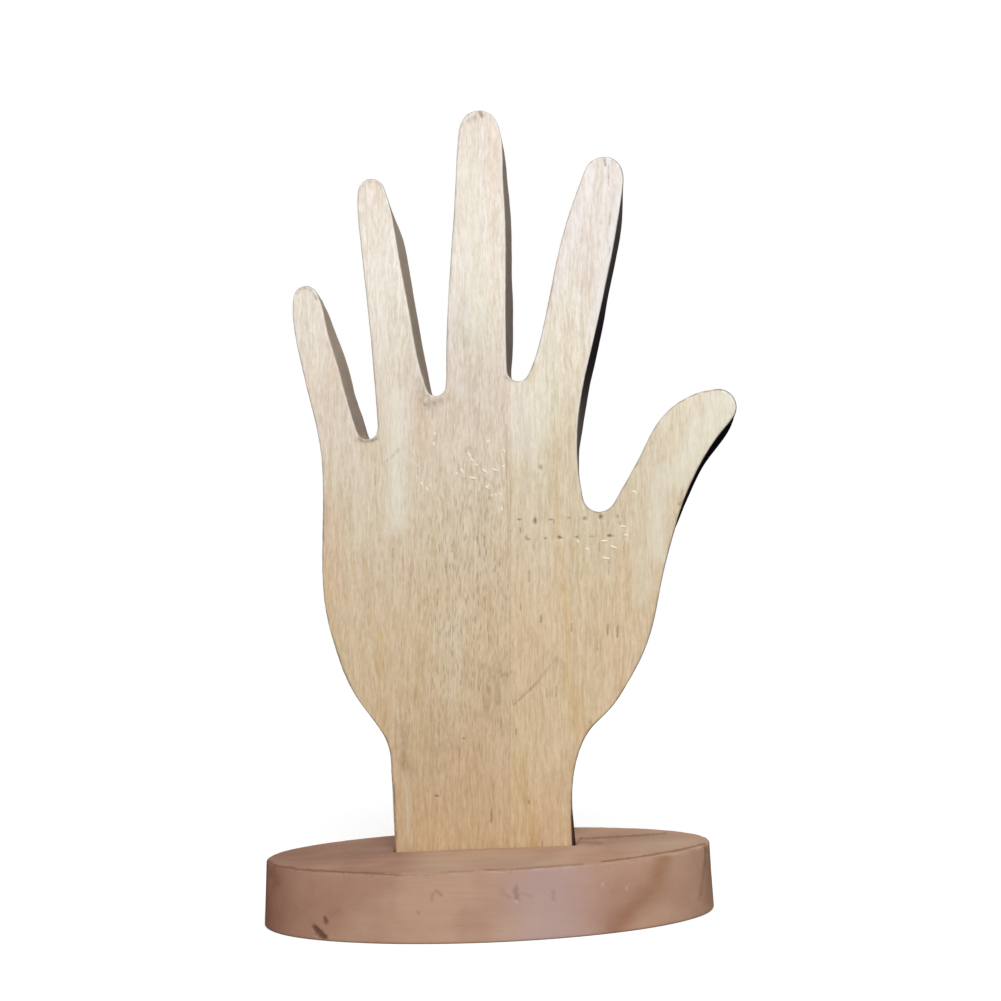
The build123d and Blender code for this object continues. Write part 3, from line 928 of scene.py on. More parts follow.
def stave_piece(node, settings, material):
    """A stave of the board: its faces with their marks, its rounded arrises and its sawn edge."""
    board = settings.board
    view = settings.camera
    low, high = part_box(node)
    loop, kinds = stave_outline(node, board)
    run = np.arange(len(loop)) * board.front_step
    radius = arris_radii(board, loop, kinds, run)
    free = 1 - smoothed((kinds != FREE).astype(float), FREE_ROUNDS)
    lean, shade = edge_lean_and_shade(view, loop, outward_of(loop)[0], free)
    shell, rings = stave_shell(view, board, loop, radius, lean, high.y)
    points, facing, rounding = shell.arrays()

    def round_edge(values):
        """Values of the outline's points on every ring, and 0 on the flat faces."""
        whole = np.zeros(len(points))
        whole[:rings * len(loop)] = np.tile(values, rings)
        return whole

    x, y, z = points.T
    front = np.clip(-facing[:, 1], 0, 1)
    rear = np.clip(facing[:, 1], 0, 1)
    side = np.sqrt(np.clip(1 - facing[:, 1] ** 2, 0, 1))
    place = round_edge(run)
    # How dark the sawn edge is painted, as painted shade and burn
    burn_and_shade = round_edge(shade)
    sawn_edge = round_edge(free)
    across, along = grain_place(x, z, board.lean)
    depth, marks = carve_face(view, board, x, z)
    rear_depth = board.hollow * noise_share(x, z, *BACK_HOLLOWS)
    rear_depth += 2 * board.fibre_relief * noise_share(across, along, *BACK_FIBRES)
    saw = noise_share(place, y, *FINE_SAW_LINES) + noise_share(place, y, *BROAD_SAW_LINES)
    saw *= board.saw_ripple * (1 - BURN_AND_SHADE_SMOOTH * np.clip(burn_and_shade, 0, 1))
    points = points - facing * (depth * front + rear_depth * rear + saw * side * sawn_edge)[:, None]
    points[:, 0] = np.clip(points[:, 0], low.x, high.x)

    fingers = np.clip((z - FINGERS_FROM) / FINGERS_FADE, 0, 1)
    leftward = np.clip(-facing[:, 0], 0, 1)
    rightward = np.clip(facing[:, 0] * WORN_GAIN, 0, 1)
    upward = np.clip(facing[:, 2], 0, 1)
    arris = rounding * sawn_edge
    arris_dirt = (ARRIS_DIRT + LEFT_DIRT * leftward) * (1 - FINGER_CLEAN * fingers) + CREST_DIRT * upward
    marks = {label: mask * front for label, mask in marks.items()}
    marks["worn"] = arris * front * rightward * fingers * (1 - upward)
    marks["dirt_and_shadow"] = np.maximum(marks["dirt_and_shadow"], arris * patchy(place, y, *ROUGH_ARRIS) * arris_dirt)
    marks["flecked"] = np.maximum(marks["flecked"], BACK_FLECKED * rear)
    marks["sawn"] = side * sawn_edge
    # Painted shade and saw burn on the sawn edge where it faces right
    marks["scorch_and_shade"] = side * burn_and_shade
    marks["run"] = place
    return mesh_piece(node + "_board", points, shell.faces, marks, material)


# The oval base

# The part of the top and side towards the viewer, which alone has marks: from which y, and over how much
NEAR_SIDE_FROM = 4 * MM
NEAR_SIDE_FADE = 6 * MM
# The rim's line: from which share of the top's half width, and over how much it begins
RIM_FROM = 0.88
RIM_FADE = 0.03
# Sharp marks: how ragged their edge is and how steeply it falls
MARK_RAG_SHARE = 0.5
MARK_STEEPNESS = 4
# Pits on the side: how deep they are, and how dark a mark has to be to be one
SIDE_PIT_DEPTH = 0.35 * MM
SIDE_PIT_FROM = 0.4
# The worn rim: how much its radius varies, the share of its finer nicks, and how often it is smoothed
RIM_CHANGE = 0.28
RIM_NICK_SHARE = 0.6
RIM_ROUNDS = 2
RIM_DIRT = 0.3
# The rounded edges: bends of their rings, rows of the side between them, radius at the foot
RIM_BENDS = np.radians([0, 15, 30, 45, 60, 75, 90])
FOOT_BENDS = np.radians([90, 112.5, 135, 157.5, 180])
SIDE_ROWS = 34
FOOT_RADIUS = 0.5 * MM
# The mortise's worn mouth, and how far below the top its wall has rings of points
MOUTH_EDGE = 0.15 * MM
WALL_RINGS = (2 * MM, 5 * MM)
HOLE_SIDES = 48
ELLIPSE_PARTS = 4000
# Size of a face: on the top as a number of the base's steps, in the mortise, and on the underside
TOP_STEPS = 1.5
MORTISE_STEP = 1.0 * MM
UNDERSIDE_STEP = 1.2 * MM
TOP_SEED = 71
MORTISE_SEED = 72
UNDERSIDE_SEED = 73
# How deep the noise on the side and the top is, and the part round the mortise that stays level
SIDE_WAVE_DEPTH = 0.10 * MM
SIDE_RIPPLE_DEPTH = 0.02 * MM
TOP_WAVE_DEPTH = 0.05 * MM
LEVEL_REACH = 2 * MM
# Faces that look up count as the top down to this far below it
TOP_LAYER = 2 * MM
# Noise on the base: width and length of its waves, and seed; then a mask's level and swing
RIM_WAVES = ((2.2 * MM, MM), 61)
RIM_NICKS = ((0.8 * MM, MM), 62)
SIDE_WAVES = ((9 * MM, 6 * MM), 63)
SIDE_RIPPLES = ((3.5 * MM, 1.8 * MM), 64)
TOP_WAVES = ((12 * MM, 8 * MM), 65)
RIM_GRIME = ((3 * MM, MM), 66, 0.55, 0.8)
MARK_RAG = ((2.2, 2.2), 67)


def ellipse_loop(half_length, half_depth, step):
    """Evenly spaced points round an ellipse, counter-clockwise from above, as angles of its parameter."""
    dense = np.linspace(0, 2 * math.pi, ELLIPSE_PARTS + 1)
    x = half_length * np.cos(dense)
    y = half_depth * np.sin(dense)
    length = np.concatenate([[0], np.cumsum(np.hypot(np.diff(x), np.diff(y)))])
    count = round(length[-1] / step)
    return np.interp(np.linspace(0, length[-1], count + 1)[:-1], length, dense)


def rectangle_loop(middle, length, width, step):
    """Points round a rectangle, counter-clockwise from above."""
    corners = [(middle[0] + a * length / 2, middle[1] + b * width / 2)
               for a, b in ((-1, -1), (1, -1), (1, 1), (-1, 1))]
    runs = [even_run(np.array([start, end]), step) for start, end in zip(corners, corners[1:] + corners[:1])]
    return np.concatenate(runs)


def circle_loop(middle, radius):
    """Points round a circle, counter-clockwise from above."""
    turn = np.arange(HOLE_SIDES) * 2 * math.pi / HOLE_SIDES
    return np.stack([middle[0] + radius * np.cos(turn), middle[1] + radius * np.sin(turn)], axis=1)


def base_marks(view, base, points, side, top):
    """Painted marks of the base, with painted light, shade and shadow on its top, and the dirt on its side,
    where it has pits.
    """
    spots = pixels_of(view, points)
    near_side = np.clip((NEAR_SIDE_FROM - points[:, 1]) / NEAR_SIDE_FADE, 0, 1)
    seen = side * near_side
    reach = np.hypot(2 * points[:, 0] / base.length, 2 * points[:, 1] / base.depth)
    at_rim = np.clip((reach - RIM_FROM) / RIM_FADE, 0, 1) * near_side
    ragged = 1 + MARK_RAG_SHARE * value_noise(spots[:, 0], spots[:, 1], *MARK_RAG)

    def sharp(lines, place):
        mask = np.zeros(len(points))
        for line, width, strength in lines:
            near = np.exp(-(ragged * distance_to_line(spots, line) / width) ** MARK_STEEPNESS)
            mask = np.maximum(mask, near * strength)
        return mask * place

    side_dirt = sharp(BASE_DIRT, seen)
    marks = {
        # Dirt on the side and rim, with the painted shadow lines on the top
        "dirt_and_shadow": np.maximum(np.maximum(side_dirt, sharp(PAINTED_TOP_SHADOW, top)), sharp(RIM_LINES, at_rim)),
        # Painted shade on the top
        "shade": streaked(spots, PAINTED_TOP_SHADE, top),
        "red": streaked(spots, BASE_RED, seen),
        # Pale spots on the side, and painted light on the top
        "pale": np.maximum(sharp(BASE_PALE, seen), streaked(spots, PAINTED_TOP_LIGHT, top)),
        "plum": streaked(spots, BASE_PLUM, seen),
        "honey": streaked(spots, BASE_RUST, seen),
    }
    return marks, side_dirt


def lay_side(shell, base, height, turn, run):
    """The base's rings, from the rim round its top down the flared side to the underside."""
    wheel = np.stack([np.cos(turn), np.sin(turn)], axis=1)
    half = np.array([base.length / 2, base.depth / 2])
    normal = wheel / (base.length, base.depth)
    normal /= np.linalg.norm(normal, axis=1)[:, None]
    nicks = value_noise(run, run * 0, *RIM_WAVES) + RIM_NICK_SHARE * value_noise(run, run * 0, *RIM_NICKS)
    rim = smoothed(base.rim * (1 + RIM_CHANGE * nicks), RIM_ROUNDS)
    foot = rim * 0 + FOOT_RADIUS

    def add_ring(inset, level, tilt):
        """A ring round the base: how far in and how high, and its tilt from top to side to underside."""
        out = base.flare * (1 - level / height)
        flat = wheel * half + normal * (out - inset)[:, None]
        flat[:, 0] += base.slide * level / height
        facing = lying(normal * math.sin(tilt), math.cos(tilt))
        shell.lay(lying(flat, level), facing, max(0.0, math.sin(2 * tilt)))

    for bend in RIM_BENDS:
        add_ring(rim * (1 - math.sin(bend)), height - rim * (1 - math.cos(bend)), bend)
    for share in np.linspace(0, 1, SIDE_ROWS + 2)[1:-1]:
        add_ring(rim * 0, (height - rim) * (1 - share) + foot * share, math.pi / 2)
    for bend in FOOT_BENDS:
        add_ring(foot * (1 - math.sin(bend)), foot * (1 + math.cos(bend)), bend)
    rings = len(shell.points)
    shell.join_rings(rings, len(turn))
    return rings


def lay_stack(shell, stack):
    """Lays loops (points, height, facing) and gives the number of each one's first point."""
    return [shell.lay(lying(loop, level), facing) for loop, level, facing in stack]


def lay_openings(shell, base, height, rings, count):
    """The top round the mortise, the mortise, the two screw holes in its floor, and the underside."""
    up, level_wall, down = (0, 0, 1), (0, 0, 0), (0, 0, -1)
    middle = (0.0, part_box("hand_finger_stave")[1].y / 2)
    inner = np.array([base.mortise_length, base.mortise_width])
    outer = inner + 2 * MOUTH_EDGE
    mouth = rectangle_loop(middle, outer[0], outer[1], base.step)
    wall = (mouth - middle) * (inner / outer) + middle
    floor = height - base.mortise_depth
    wall_levels = [height - MOUTH_EDGE] + [height - deep for deep in WALL_RINGS] + [floor]
    firsts = lay_stack(shell, [(mouth, height, up)] + [(wall, level, level_wall) for level in wall_levels])
    for upper, lower in zip(firsts, firsts[1:]):
        shell.join(lower, upper, len(wall))
    rim = shell.points[0][:, :2]
    shell.cover([rim, mouth], [0, firsts[0]], lying, height, up, base.step * TOP_STEPS, TOP_SEED, False)

    cone_top = base.seat_depth + base.mouth_radius - base.hole_radius
    low_loops = []
    low_firsts = []
    high_loops = []
    high_firsts = []
    for side in (-1, 1):
        place = (side * base.screw_spacing / 2, middle[1])
        narrow = circle_loop(place, base.hole_radius)
        wide = circle_loop(place, base.mouth_radius)
        holes = lay_stack(shell, [(wide, 0.0, down), (wide, base.seat_depth, level_wall),
                                  (narrow, cone_top, level_wall), (narrow, floor, level_wall)])
        for lower, upper in zip(holes, holes[1:]):
            shell.join(lower, upper, HOLE_SIDES)
        low_loops.append(wide)
        low_firsts.append(holes[0])
        high_loops.append(narrow)
        high_firsts.append(holes[-1])
    shell.cover([wall] + high_loops, [firsts[-1]] + high_firsts, lying, floor, up, MORTISE_STEP, MORTISE_SEED,
                False)
    bottom = shell.points[rings - 1][:, :2]
    shell.cover([bottom] + low_loops, [(rings - 1) * count] + low_firsts, lying, 0.0, down, UNDERSIDE_STEP,
                UNDERSIDE_SEED, True)


def base_piece(settings, material):
    """The base: flared side, worn rim, top with its mortise and underside with its screw holes."""
    base = settings.base
    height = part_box("oval_base")[1].z
    turn = ellipse_loop(base.length / 2, base.depth / 2, base.step)
    run = np.arange(len(turn)) * base.step
    shell = Shell()
    rings = lay_side(shell, base, height, turn, run)
    lay_openings(shell, base, height, rings, len(turn))
    points, facing, rounding = shell.arrays()

    x, y, z = points.T
    side = np.linalg.norm(facing[:, :2], axis=1)
    top = np.clip(facing[:, 2], 0, 1) * (z > height - TOP_LAYER)
    around = np.zeros(len(points))
    around[:rings * len(turn)] = np.tile(run, rings)
    marks, side_dirt = base_marks(settings.camera, base, points, side, top)
    clear = np.minimum(np.abs(np.abs(x) - base.mortise_length / 2), LEVEL_REACH) / LEVEL_REACH
    inward = SIDE_WAVE_DEPTH * side * noise_share(around, z, *SIDE_WAVES)
    inward += SIDE_RIPPLE_DEPTH * side * noise_share(around, z, *SIDE_RIPPLES)
    inward += TOP_WAVE_DEPTH * top * clear * noise_share(x, y, *TOP_WAVES)
    inward += SIDE_PIT_DEPTH * np.clip(side_dirt - SIDE_PIT_FROM, 0, 1)
    rim_dirt = rounding * (z > height / 2) * patchy(around, z * 0, *RIM_GRIME)
    marks["dirt_and_shadow"] = np.maximum(marks["dirt_and_shadow"], rim_dirt * RIM_DIRT)
    marks["run"] = around
    points = points - facing * inward[:, None]
    points[:, 2] = np.clip(points[:, 2], 0, height)
    return mesh_piece("oval_base_block", points, shell.faces, marks, material)


# Materials

# Raw wood doesn't gloss
DULL = 0.0
# The hand's height, along which its tones change, paler towards the fingertips partly as painted light, and
# how far the broad bands move them
TONE_HEIGHT = 180 * MM
TONE_SHIFT = 0.05
# From the wrist up the tones pale, as the wood's own tone and as painted light on the fingers
FINGER_TONES_AND_LIGHT = [
    (0.0, (0.585, 0.425, 0.253)), (0.20, (0.685, 0.53, 0.36)), (0.36, (0.735, 0.605, 0.438)),
    (0.52, (0.765, 0.68, 0.55)), (0.66, (0.83, 0.755, 0.67)), (0.80, (0.94, 0.905, 0.845)),
    (1.0, (0.915, 0.855, 0.80)),
]
THUMB_TONES_AND_LIGHT = [
    (0.0, (0.585, 0.43, 0.27)), (0.20, (0.745, 0.595, 0.41)), (0.36, (0.76, 0.625, 0.45)),
    (0.52, (0.765, 0.69, 0.54)), (0.66, (0.89, 0.845, 0.725)), (0.80, (0.905, 0.86, 0.825)),
    (1.0, (0.935, 0.905, 0.905)),
]
# Each stave's finish: its name, its tones from the wrist up with painted light that pales the fingers, its
# share of flecks, and its place in the grain
STAVE_FINISHES = {
    "hand_finger_stave": ("hand_wood_finish", FINGER_TONES_AND_LIGHT, 0.55, (0.0, 0.0, 0.0)),
    "hand_thumb_stave": ("hand_wood_pale_finish", THUMB_TONES_AND_LIGHT, 0.22, (0.07, 0.05, 0.11)),
}
# Waves that move the hand's grain sideways: stretch, scale, how far they move it, their middle value
WAVER_STRETCH = (1.0, 1.0, 0.45)
WAVER_SCALE = 170.0
WAVER_REACH = (2.2 * MM, 0.0, 0.0)
NOISE_MIDDLE = (0.5, 0.5, 0.5)
# Where the hand's coarser layers lie in the same grain, and the share of the flecks that are coarse
COARSE_PLACE = (0.31, 0.17, 0.23)
HUE_PLACE = (0.13, 0.41, 0.07)
COARSE_FLECKS = 0.45
# Tints of the grain: layer and its part, the values between which the tint comes in, its strength,
# colour and way
HAND_GRAIN = [
    ("hue", "Band", 0.52, 0.70, 0.60, (1.0, 0.93, 0.88), "MULTIPLY"),
    ("hue", "Band", 0.48, 0.30, 0.60, (0.95, 0.96, 0.88), "MULTIPLY"),
    ("fine", "Band", 0.30, 0.70, 0.24, (0.80, 0.74, 0.66), "MULTIPLY"),
    ("coarse", "Band", 0.45, 0.75, 0.30, (0.95, 0.87, 0.77), "MULTIPLY"),
    ("fine", "Fibre", 0.35, 0.72, 0.44, (0.74, 0.65, 0.54), "MULTIPLY"),
    ("coarse", "Fibre", 0.45, 0.72, 0.30, (0.74, 0.64, 0.52), "MULTIPLY"),
    ("hue", "Fibre", 0.35, 0.70, 0.44, (0.80, 0.74, 0.67), "MULTIPLY"),
    ("coarse", "Fibre", 0.42, 0.25, 0.12, (1.0, 0.98, 0.92), "SCREEN"),
]
BASE_GRAIN = [
    ("fine", "Band", 0.30, 0.70, 0.25, (0.80, 0.70, 0.64), "MULTIPLY"),
    ("fine", "Fibre", 0.35, 0.75, 0.15, (0.78, 0.66, 0.58), "MULTIPLY"),
]
# Painted marks: label, strength, colour and way
HAND_MARKS = [
    ("honey", 1.0, (0.92, 0.85, 0.62), "MULTIPLY"),
    ("pink", 1.0, (0.96, 0.85, 0.78), "MULTIPLY"),
    ("cool", 0.6, (0.90, 0.88, 0.93), "MIX"),
    ("worn", 0.8, (1.0, 0.98, 0.95), "MIX"),
    ("pale", 0.55, (0.84, 0.84, 0.72), "MIX"),
]
HAND_DIRT_AND_SHADOW_TINT = [("dirt_and_shadow", 0.85, (0.13, 0.085, 0.055), "MIX")]
# On the base, shade is painted shade, pale holds painted light too, and dirt holds painted shadow
BASE_MARKS = [
    ("plum", 0.7, (0.48, 0.345, 0.345), "MIX"),
    ("honey", 1.0, (0.80, 0.70, 0.62), "MULTIPLY"),
    ("red", 1.0, (0.74, 0.58, 0.58), "MULTIPLY"),
    ("shade", 1.0, (0.64, 0.57, 0.63), "MULTIPLY"),
    ("pale", 0.6, (0.72, 0.60, 0.50), "MIX"),
]
BASE_DIRT_AND_SHADOW_TINT = [("dirt_and_shadow", 0.85, (0.13, 0.055, 0.038), "MIX")]
# A fleck: how far from its middle it fades, and how softly it is chosen among its neighbours
FLECK_FADE = (0.22, 0.5)
FLECK_CHOICE = (0.0, 0.3)
# Dark flecks: strength in the fine and in the coarse layer, share away from the flecked part, colour
FINE_FLECK = 0.60
COARSE_FLECK = 0.52
SPARSE_FLECKS = 0.15
HAND_FLECK = (0.32, 0.23, 0.15)
BASE_FLECK = (0.16, 0.085, 0.055)
BASE_FLECK_STRENGTH = 0.06
BASE_FLECK_SHARE = 0.22
# The sawn edge: its clean colour, how far that covers the wood's own, and its tones as it is burnt and
# painted with shade
SAWN_COLOUR = (0.52, 0.44, 0.37)
SAWN_SHARE = 0.45
BURN_AND_SHADE_TONES = [
    (0.0, (0.60, 0.50, 0.40)), (0.2, (0.46, 0.385, 0.315)), (0.4, (0.28, 0.235, 0.22)),
    (0.6, (0.165, 0.145, 0.135)), (0.75, (0.09, 0.078, 0.078)), (0.9, (0.032, 0.026, 0.029)),
    (1.0, (0.010, 0.007, 0.008)),
]
# Patches of the saw's marks: how far they move those tones, and where they lie in the noise
PATCH_SHIFT = 0.04
PATCH_PLACE = 3.0
# The burnt edge, with its painted shade, is redder low on the hand: from no redder to all, in shares of the
# height
RED_HEIGHTS = (0.35, 0.22)
RED_BURN_AND_SHADE = (1.0, 0.70, 0.56)
# The saw's lines in the colour
SAW_LINE = (0.66, 0.6, 0.55)
SAW_LINE_RANGE = (0.35, 0.7)
SAW_LINE_STRENGTH = 0.22
# The values of the painted masks between which the sawn edge and its tones of burn and painted shade
# begin, and between which such an edge loses its relief
SAWN_FADE = (0.6, 1.0)
SCORCH_AND_SHADE_FADE = (0.0, 0.1)
SMOOTH_FADE = (0.4, 0.9)
# The saw's lines: distance along the edge, how they change across it, and how many make a patch
SAW_PITCH = 0.6 * MM
SAW_DEPTH_SCALE = 90.0
SAW_PATCH_LINES = 14.0
# Relief: share of each layer's fibres, flecks and saw lines against them, and what an edge with burn and
# painted shade keeps
FIBRE_SHARE = 0.5
FLECK_RELIEF = 1.2
SAW_RELIEF = 0.8
BURN_AND_SHADE_RELIEF = 0.1
BASE_FLECK_RELIEF = 0.8
# The values of a noise that count as low and high
NOISE_RANGE = (0.2, 0.8)
# Two clouded tones each of the base, the screws and the torn fibre
BASE_TONES = ((0.55, 0.365, 0.255), (0.475, 0.295, 0.21))
SCREW_TONES = ((0.62, 0.61, 0.57), (0.42, 0.41, 0.40))
TORN_TONES = ((0.89, 0.83, 0.68), (0.77, 0.70, 0.54))
CLOUD_RANGE = (0.35, 0.7)
# Noises of these finishes: scale, detail and roughness
BASE_CLOUD = (60.0, 3.0, 0.55)
SCREW_CLOUD = (900.0, 3.0, 0.6)
SCREW_TURNING = (2500.0, 2.0, 0.5)
TURNING_STRETCH = (1.0, 1.0, 6.0)
TORN_CLOUD = (1500.0, 2.0, 0.5)
# Roughness of each finish, from its smooth to its rough parts
HAND_ROUGHNESS = (0.66, 0.86)
BASE_ROUGHNESS = (0.6, 0.8)
SCREW_ROUGHNESS = (0.28, 0.5)
SCREW_DULL_RANGE = (0.3, 0.7)
TORN_ROUGHNESS = 0.7
# Bump of each finish: strength and distance
HAND_BUMP = (0.5, 0.10 * MM)
BASE_BUMP = (0.5, 0.04 * MM)
SCREW_BUMP = (0.3, 0.05 * MM)
# The sockets of a mix of two colours
MIX_SHARE, MIX_FIRST, MIX_SECOND = 0, 6, 7
MIX_RESULT = 2


class Wiring:
    """Adds nodes to a node tree and joins them."""

    def __init__(self, tree):
        self.tree = tree

    def node(self, kind, **settings):
        node = self.tree.nodes.new(kind)
        for name, value in settings.items():
            setattr(node, name, value)
        return node

    def feed(self, socket, value):
        """Joins a socket to another one, or gives it a value; a colour is its three parts."""
        if isinstance(value, bpy.types.NodeSocket):
            self.tree.links.new(value, socket)
        else:
            socket.default_value = (*value, 1.0) if socket.type == "RGBA" else value

    def number(self, operation, *values):
        node = self.node("ShaderNodeMath", operation=operation)
        for socket, value in zip(node.inputs, values):
            self.feed(socket, value)
        return node.outputs[0]

    def times(self, first, second):
        return self.number("MULTIPLY", first, second)

    def vector(self, operation, first, second):
        node = self.node("ShaderNodeVectorMath", operation=operation)
        self.feed(node.inputs[0], first)
        self.feed(node.inputs[1], second)
        return node.outputs[0]

    def triple(self, x, y, z):
        node = self.node("ShaderNodeCombineXYZ")
        for socket, value in zip(node.inputs, (x, y, z)):
            self.feed(socket, value)
        return node.outputs[0]

    def parts(self, place):
        """The x, y and z of a vector."""
        node = self.node("ShaderNodeSeparateXYZ")
        self.feed(node.inputs[0], place)
        return node.outputs

    def noise(self, place, scale=1.0, detail=2.0, roughness=0.5):
        node = self.node("ShaderNodeTexNoise")
        values = {"Vector": place, "Scale": scale, "Detail": detail, "Roughness": roughness}
        for name, value in values.items():
            self.feed(node.inputs[name], value)
        return node.outputs["Fac"]

    def spread(self, value, low, high, to_low=0.0, to_high=1.0):
        node = self.node("ShaderNodeMapRange", interpolation_type="SMOOTHSTEP")
        values = {"Value": value, "From Min": low, "From Max": high, "To Min": to_low, "To Max": to_high}
        for name, number in values.items():
            self.feed(node.inputs[name], number)
        return node.outputs[0]

    def blend(self, share, first, second, way="MIX"):
        node = self.node("ShaderNodeMix", data_type="RGBA", blend_type=way)
        for place, value in ((MIX_SHARE, share), (MIX_FIRST, first), (MIX_SECOND, second)):
            self.feed(node.inputs[place], value)
        return node.outputs[MIX_RESULT]

    def painted(self, label):
        return self.node("ShaderNodeAttribute", attribute_name=label).outputs["Fac"]


def new_group(name, inputs, outputs):
    """A shader node group with its named sockets, and the nodes at its ends."""
    tree = bpy.data.node_groups.new(name, "ShaderNodeTree")
    for label in inputs:
        kind = "NodeSocketVector" if label == "Vector" else "NodeSocketFloat"
        tree.interface.new_socket(label, in_out="INPUT", socket_type=kind)
    for label in outputs:
        tree.interface.new_socket(label, in_out="OUTPUT", socket_type="NodeSocketFloat")
    start = tree.nodes.new("NodeGroupInput")
    end = tree.nodes.new("NodeGroupOutput")
    return Wiring(tree), start.outputs, end.inputs


def grain_group():
    """Wood grain in layers: broad bands, fine fibres, and short dark flecks along the grain."""
    make, given, result = new_group("wood grain", [
        "Vector", "Lean", "Fibre Width", "Fibre Length", "Band Width", "Band Length", "Fleck Width",
        "Fleck Length", "Fleck Share"], ["Fibre", "Band", "Fleck"])
    turned = make.node("ShaderNodeVectorRotate", rotation_type="Y_AXIS")
    make.feed(turned.inputs["Vector"], given["Vector"])
    make.feed(turned.inputs["Angle"], given["Lean"])

    def stretched(part):
        width = given[part + " Width"]
        return make.vector("DIVIDE", turned.outputs[0], make.triple(width, width, given[part + " Length"]))

    make.feed(result["Fibre"], make.noise(stretched("Fibre"), detail=2.0, roughness=0.6))
    make.feed(result["Band"], make.noise(stretched("Band"), detail=3.0, roughness=0.55))
    cells = make.node("ShaderNodeTexVoronoi", feature="F1")
    make.feed(cells.inputs["Vector"], stretched("Fleck"))
    make.feed(cells.inputs["Scale"], 1.0)
    dash = make.spread(cells.outputs["Distance"], *FLECK_FADE, 1.0, 0.0)
    chosen = make.node("ShaderNodeSeparateColor")
    make.feed(chosen.inputs[0], cells.outputs["Color"])
    here = make.spread(make.number("SUBTRACT", given["Fleck Share"], chosen.outputs[0]), *FLECK_CHOICE)
    make.feed(result["Fleck"], make.times(dash, here))
    return make.tree


def saw_group():
    """Fine lines across a sawn edge, which the blade leaves, from the place along the edge."""
    make, given, result = new_group("saw marks", ["Run", "Vector"], ["Line", "Patch"])
    place = make.number("DIVIDE", given["Run"], SAW_PITCH)
    deep = make.times(make.parts(given["Vector"])[1], SAW_DEPTH_SCALE)
    make.feed(result["Line"], make.noise(make.triple(place, deep, 0.0), detail=2.0, roughness=0.6))
    broad = make.number("DIVIDE", given["Run"], SAW_PITCH * SAW_PATCH_LINES)
    make.feed(result["Patch"], make.noise(make.triple(broad, deep, PATCH_PLACE), detail=2.0, roughness=0.5))
    return make.tree


def group_named(name, maker):
    return bpy.data.node_groups.get(name) or maker()


def new_material(name):
    material = bpy.data.materials.new(name)
    material.use_nodes = True
    make = Wiring(material.node_tree)
    shader = material.node_tree.nodes["Principled BSDF"]
    place = make.node("ShaderNodeTexCoord").outputs["Object"]
    return material, make, shader, place


def use_group(make, tree, **values):
    node = make.node("ShaderNodeGroup", node_tree=tree)
    for label, value in values.items():
        make.feed(node.inputs[label.replace("_", " ")], value)
    return node.outputs


def tone_ramp(make, value, stops):
    """Colours along a value from 0 to 1."""
    node = make.node("ShaderNodeValToRGB")
    ramp = node.color_ramp
    ramp.interpolation = "LINEAR"
    while len(ramp.elements) < len(stops):
        ramp.elements.new(1.0)
    for element, (where, colour) in zip(ramp.elements, stops):
        element.position = where
        element.color = (*colour, 1.0)
    make.feed(node.inputs[0], value)
    return node.outputs[0]


def tinted(make, colour, layers, tints):
    """A colour with tints over it, each where a part of the grain is strong."""
    for layer, part, low, high, strength, tint, way in tints:
        colour = make.blend(make.spread(layers[layer][part], low, high, 0.0, strength), colour, tint, way)
    return colour


def marked(make, colour, marks):
    """A colour with painted marks over it."""
    for label, strength, tint, way in marks:
        colour = make.blend(make.times(make.painted(label), strength), colour, tint, way)
    return colour


def add_bump(make, shader, height, strength, distance):
    bump = make.node("ShaderNodeBump")
    bump.inputs["Strength"].default_value = strength
    bump.inputs["Distance"].default_value = distance
    make.feed(bump.inputs["Height"], height)
    make.feed(shader.inputs["Normal"], bump.outputs[0])


def hand_layers(make, grain, place, fleck_share, shift, lean):
    """The hand's grain in three sizes, wavering a little."""
    waves = make.node("ShaderNodeTexNoise")
    make.feed(waves.inputs["Vector"], make.vector("MULTIPLY", place, WAVER_STRETCH))
    make.feed(waves.inputs["Scale"], WAVER_SCALE)
    centred = make.vector("SUBTRACT", waves.outputs["Color"], NOISE_MIDDLE)
    waver = make.vector("MULTIPLY", centred, WAVER_REACH)
    moved = make.vector("ADD", make.vector("ADD", place, shift), waver)
    return {
        "fine": use_group(
            make, grain, Vector=moved, Lean=-lean, Fibre_Width=0.34 * MM, Fibre_Length=4.2 * MM,
            Band_Width=2.2 * MM, Band_Length=22 * MM, Fleck_Width=0.28 * MM, Fleck_Length=2.4 * MM,
            Fleck_Share=fleck_share),
        "coarse": use_group(
            make, grain, Vector=make.vector("ADD", moved, COARSE_PLACE), Lean=-lean, Fibre_Width=0.7 * MM,
            Fibre_Length=11 * MM, Band_Width=6.5 * MM, Band_Length=70 * MM, Fleck_Width=0.46 * MM,
            Fleck_Length=3.4 * MM, Fleck_Share=fleck_share * COARSE_FLECKS),
        "hue": use_group(
            make, grain, Vector=make.vector("ADD", moved, HUE_PLACE), Lean=-lean, Fibre_Width=0.55 * MM,
            Fibre_Length=1.6 * MM, Band_Width=4.2 * MM, Band_Length=40 * MM),
    }


def sawn_colour(make, colour, height, lines):
    """The colour of the sawn edge, from clean to burnt and painted with shade, with the saw's lines."""
    scorch_and_shade = make.painted("scorch_and_shade")
    clean = make.blend(SAWN_SHARE, colour, SAWN_COLOUR)
    patches = make.spread(lines["Patch"], *NOISE_RANGE, -PATCH_SHIFT, PATCH_SHIFT)
    # Tones of burn and painted shade on the right-facing sawn edge
    burn_and_shade = tone_ramp(make, make.number("ADD", scorch_and_shade, patches), BURN_AND_SHADE_TONES)
    burn_and_shade = make.blend(make.spread(height, *RED_HEIGHTS), burn_and_shade, RED_BURN_AND_SHADE, "MULTIPLY")
    cut = make.blend(make.spread(scorch_and_shade, *SCORCH_AND_SHADE_FADE), clean, burn_and_shade)
    line = make.spread(lines["Line"], *SAW_LINE_RANGE, 0.0, SAW_LINE_STRENGTH)
    return make.blend(line, cut, SAW_LINE, "MULTIPLY")


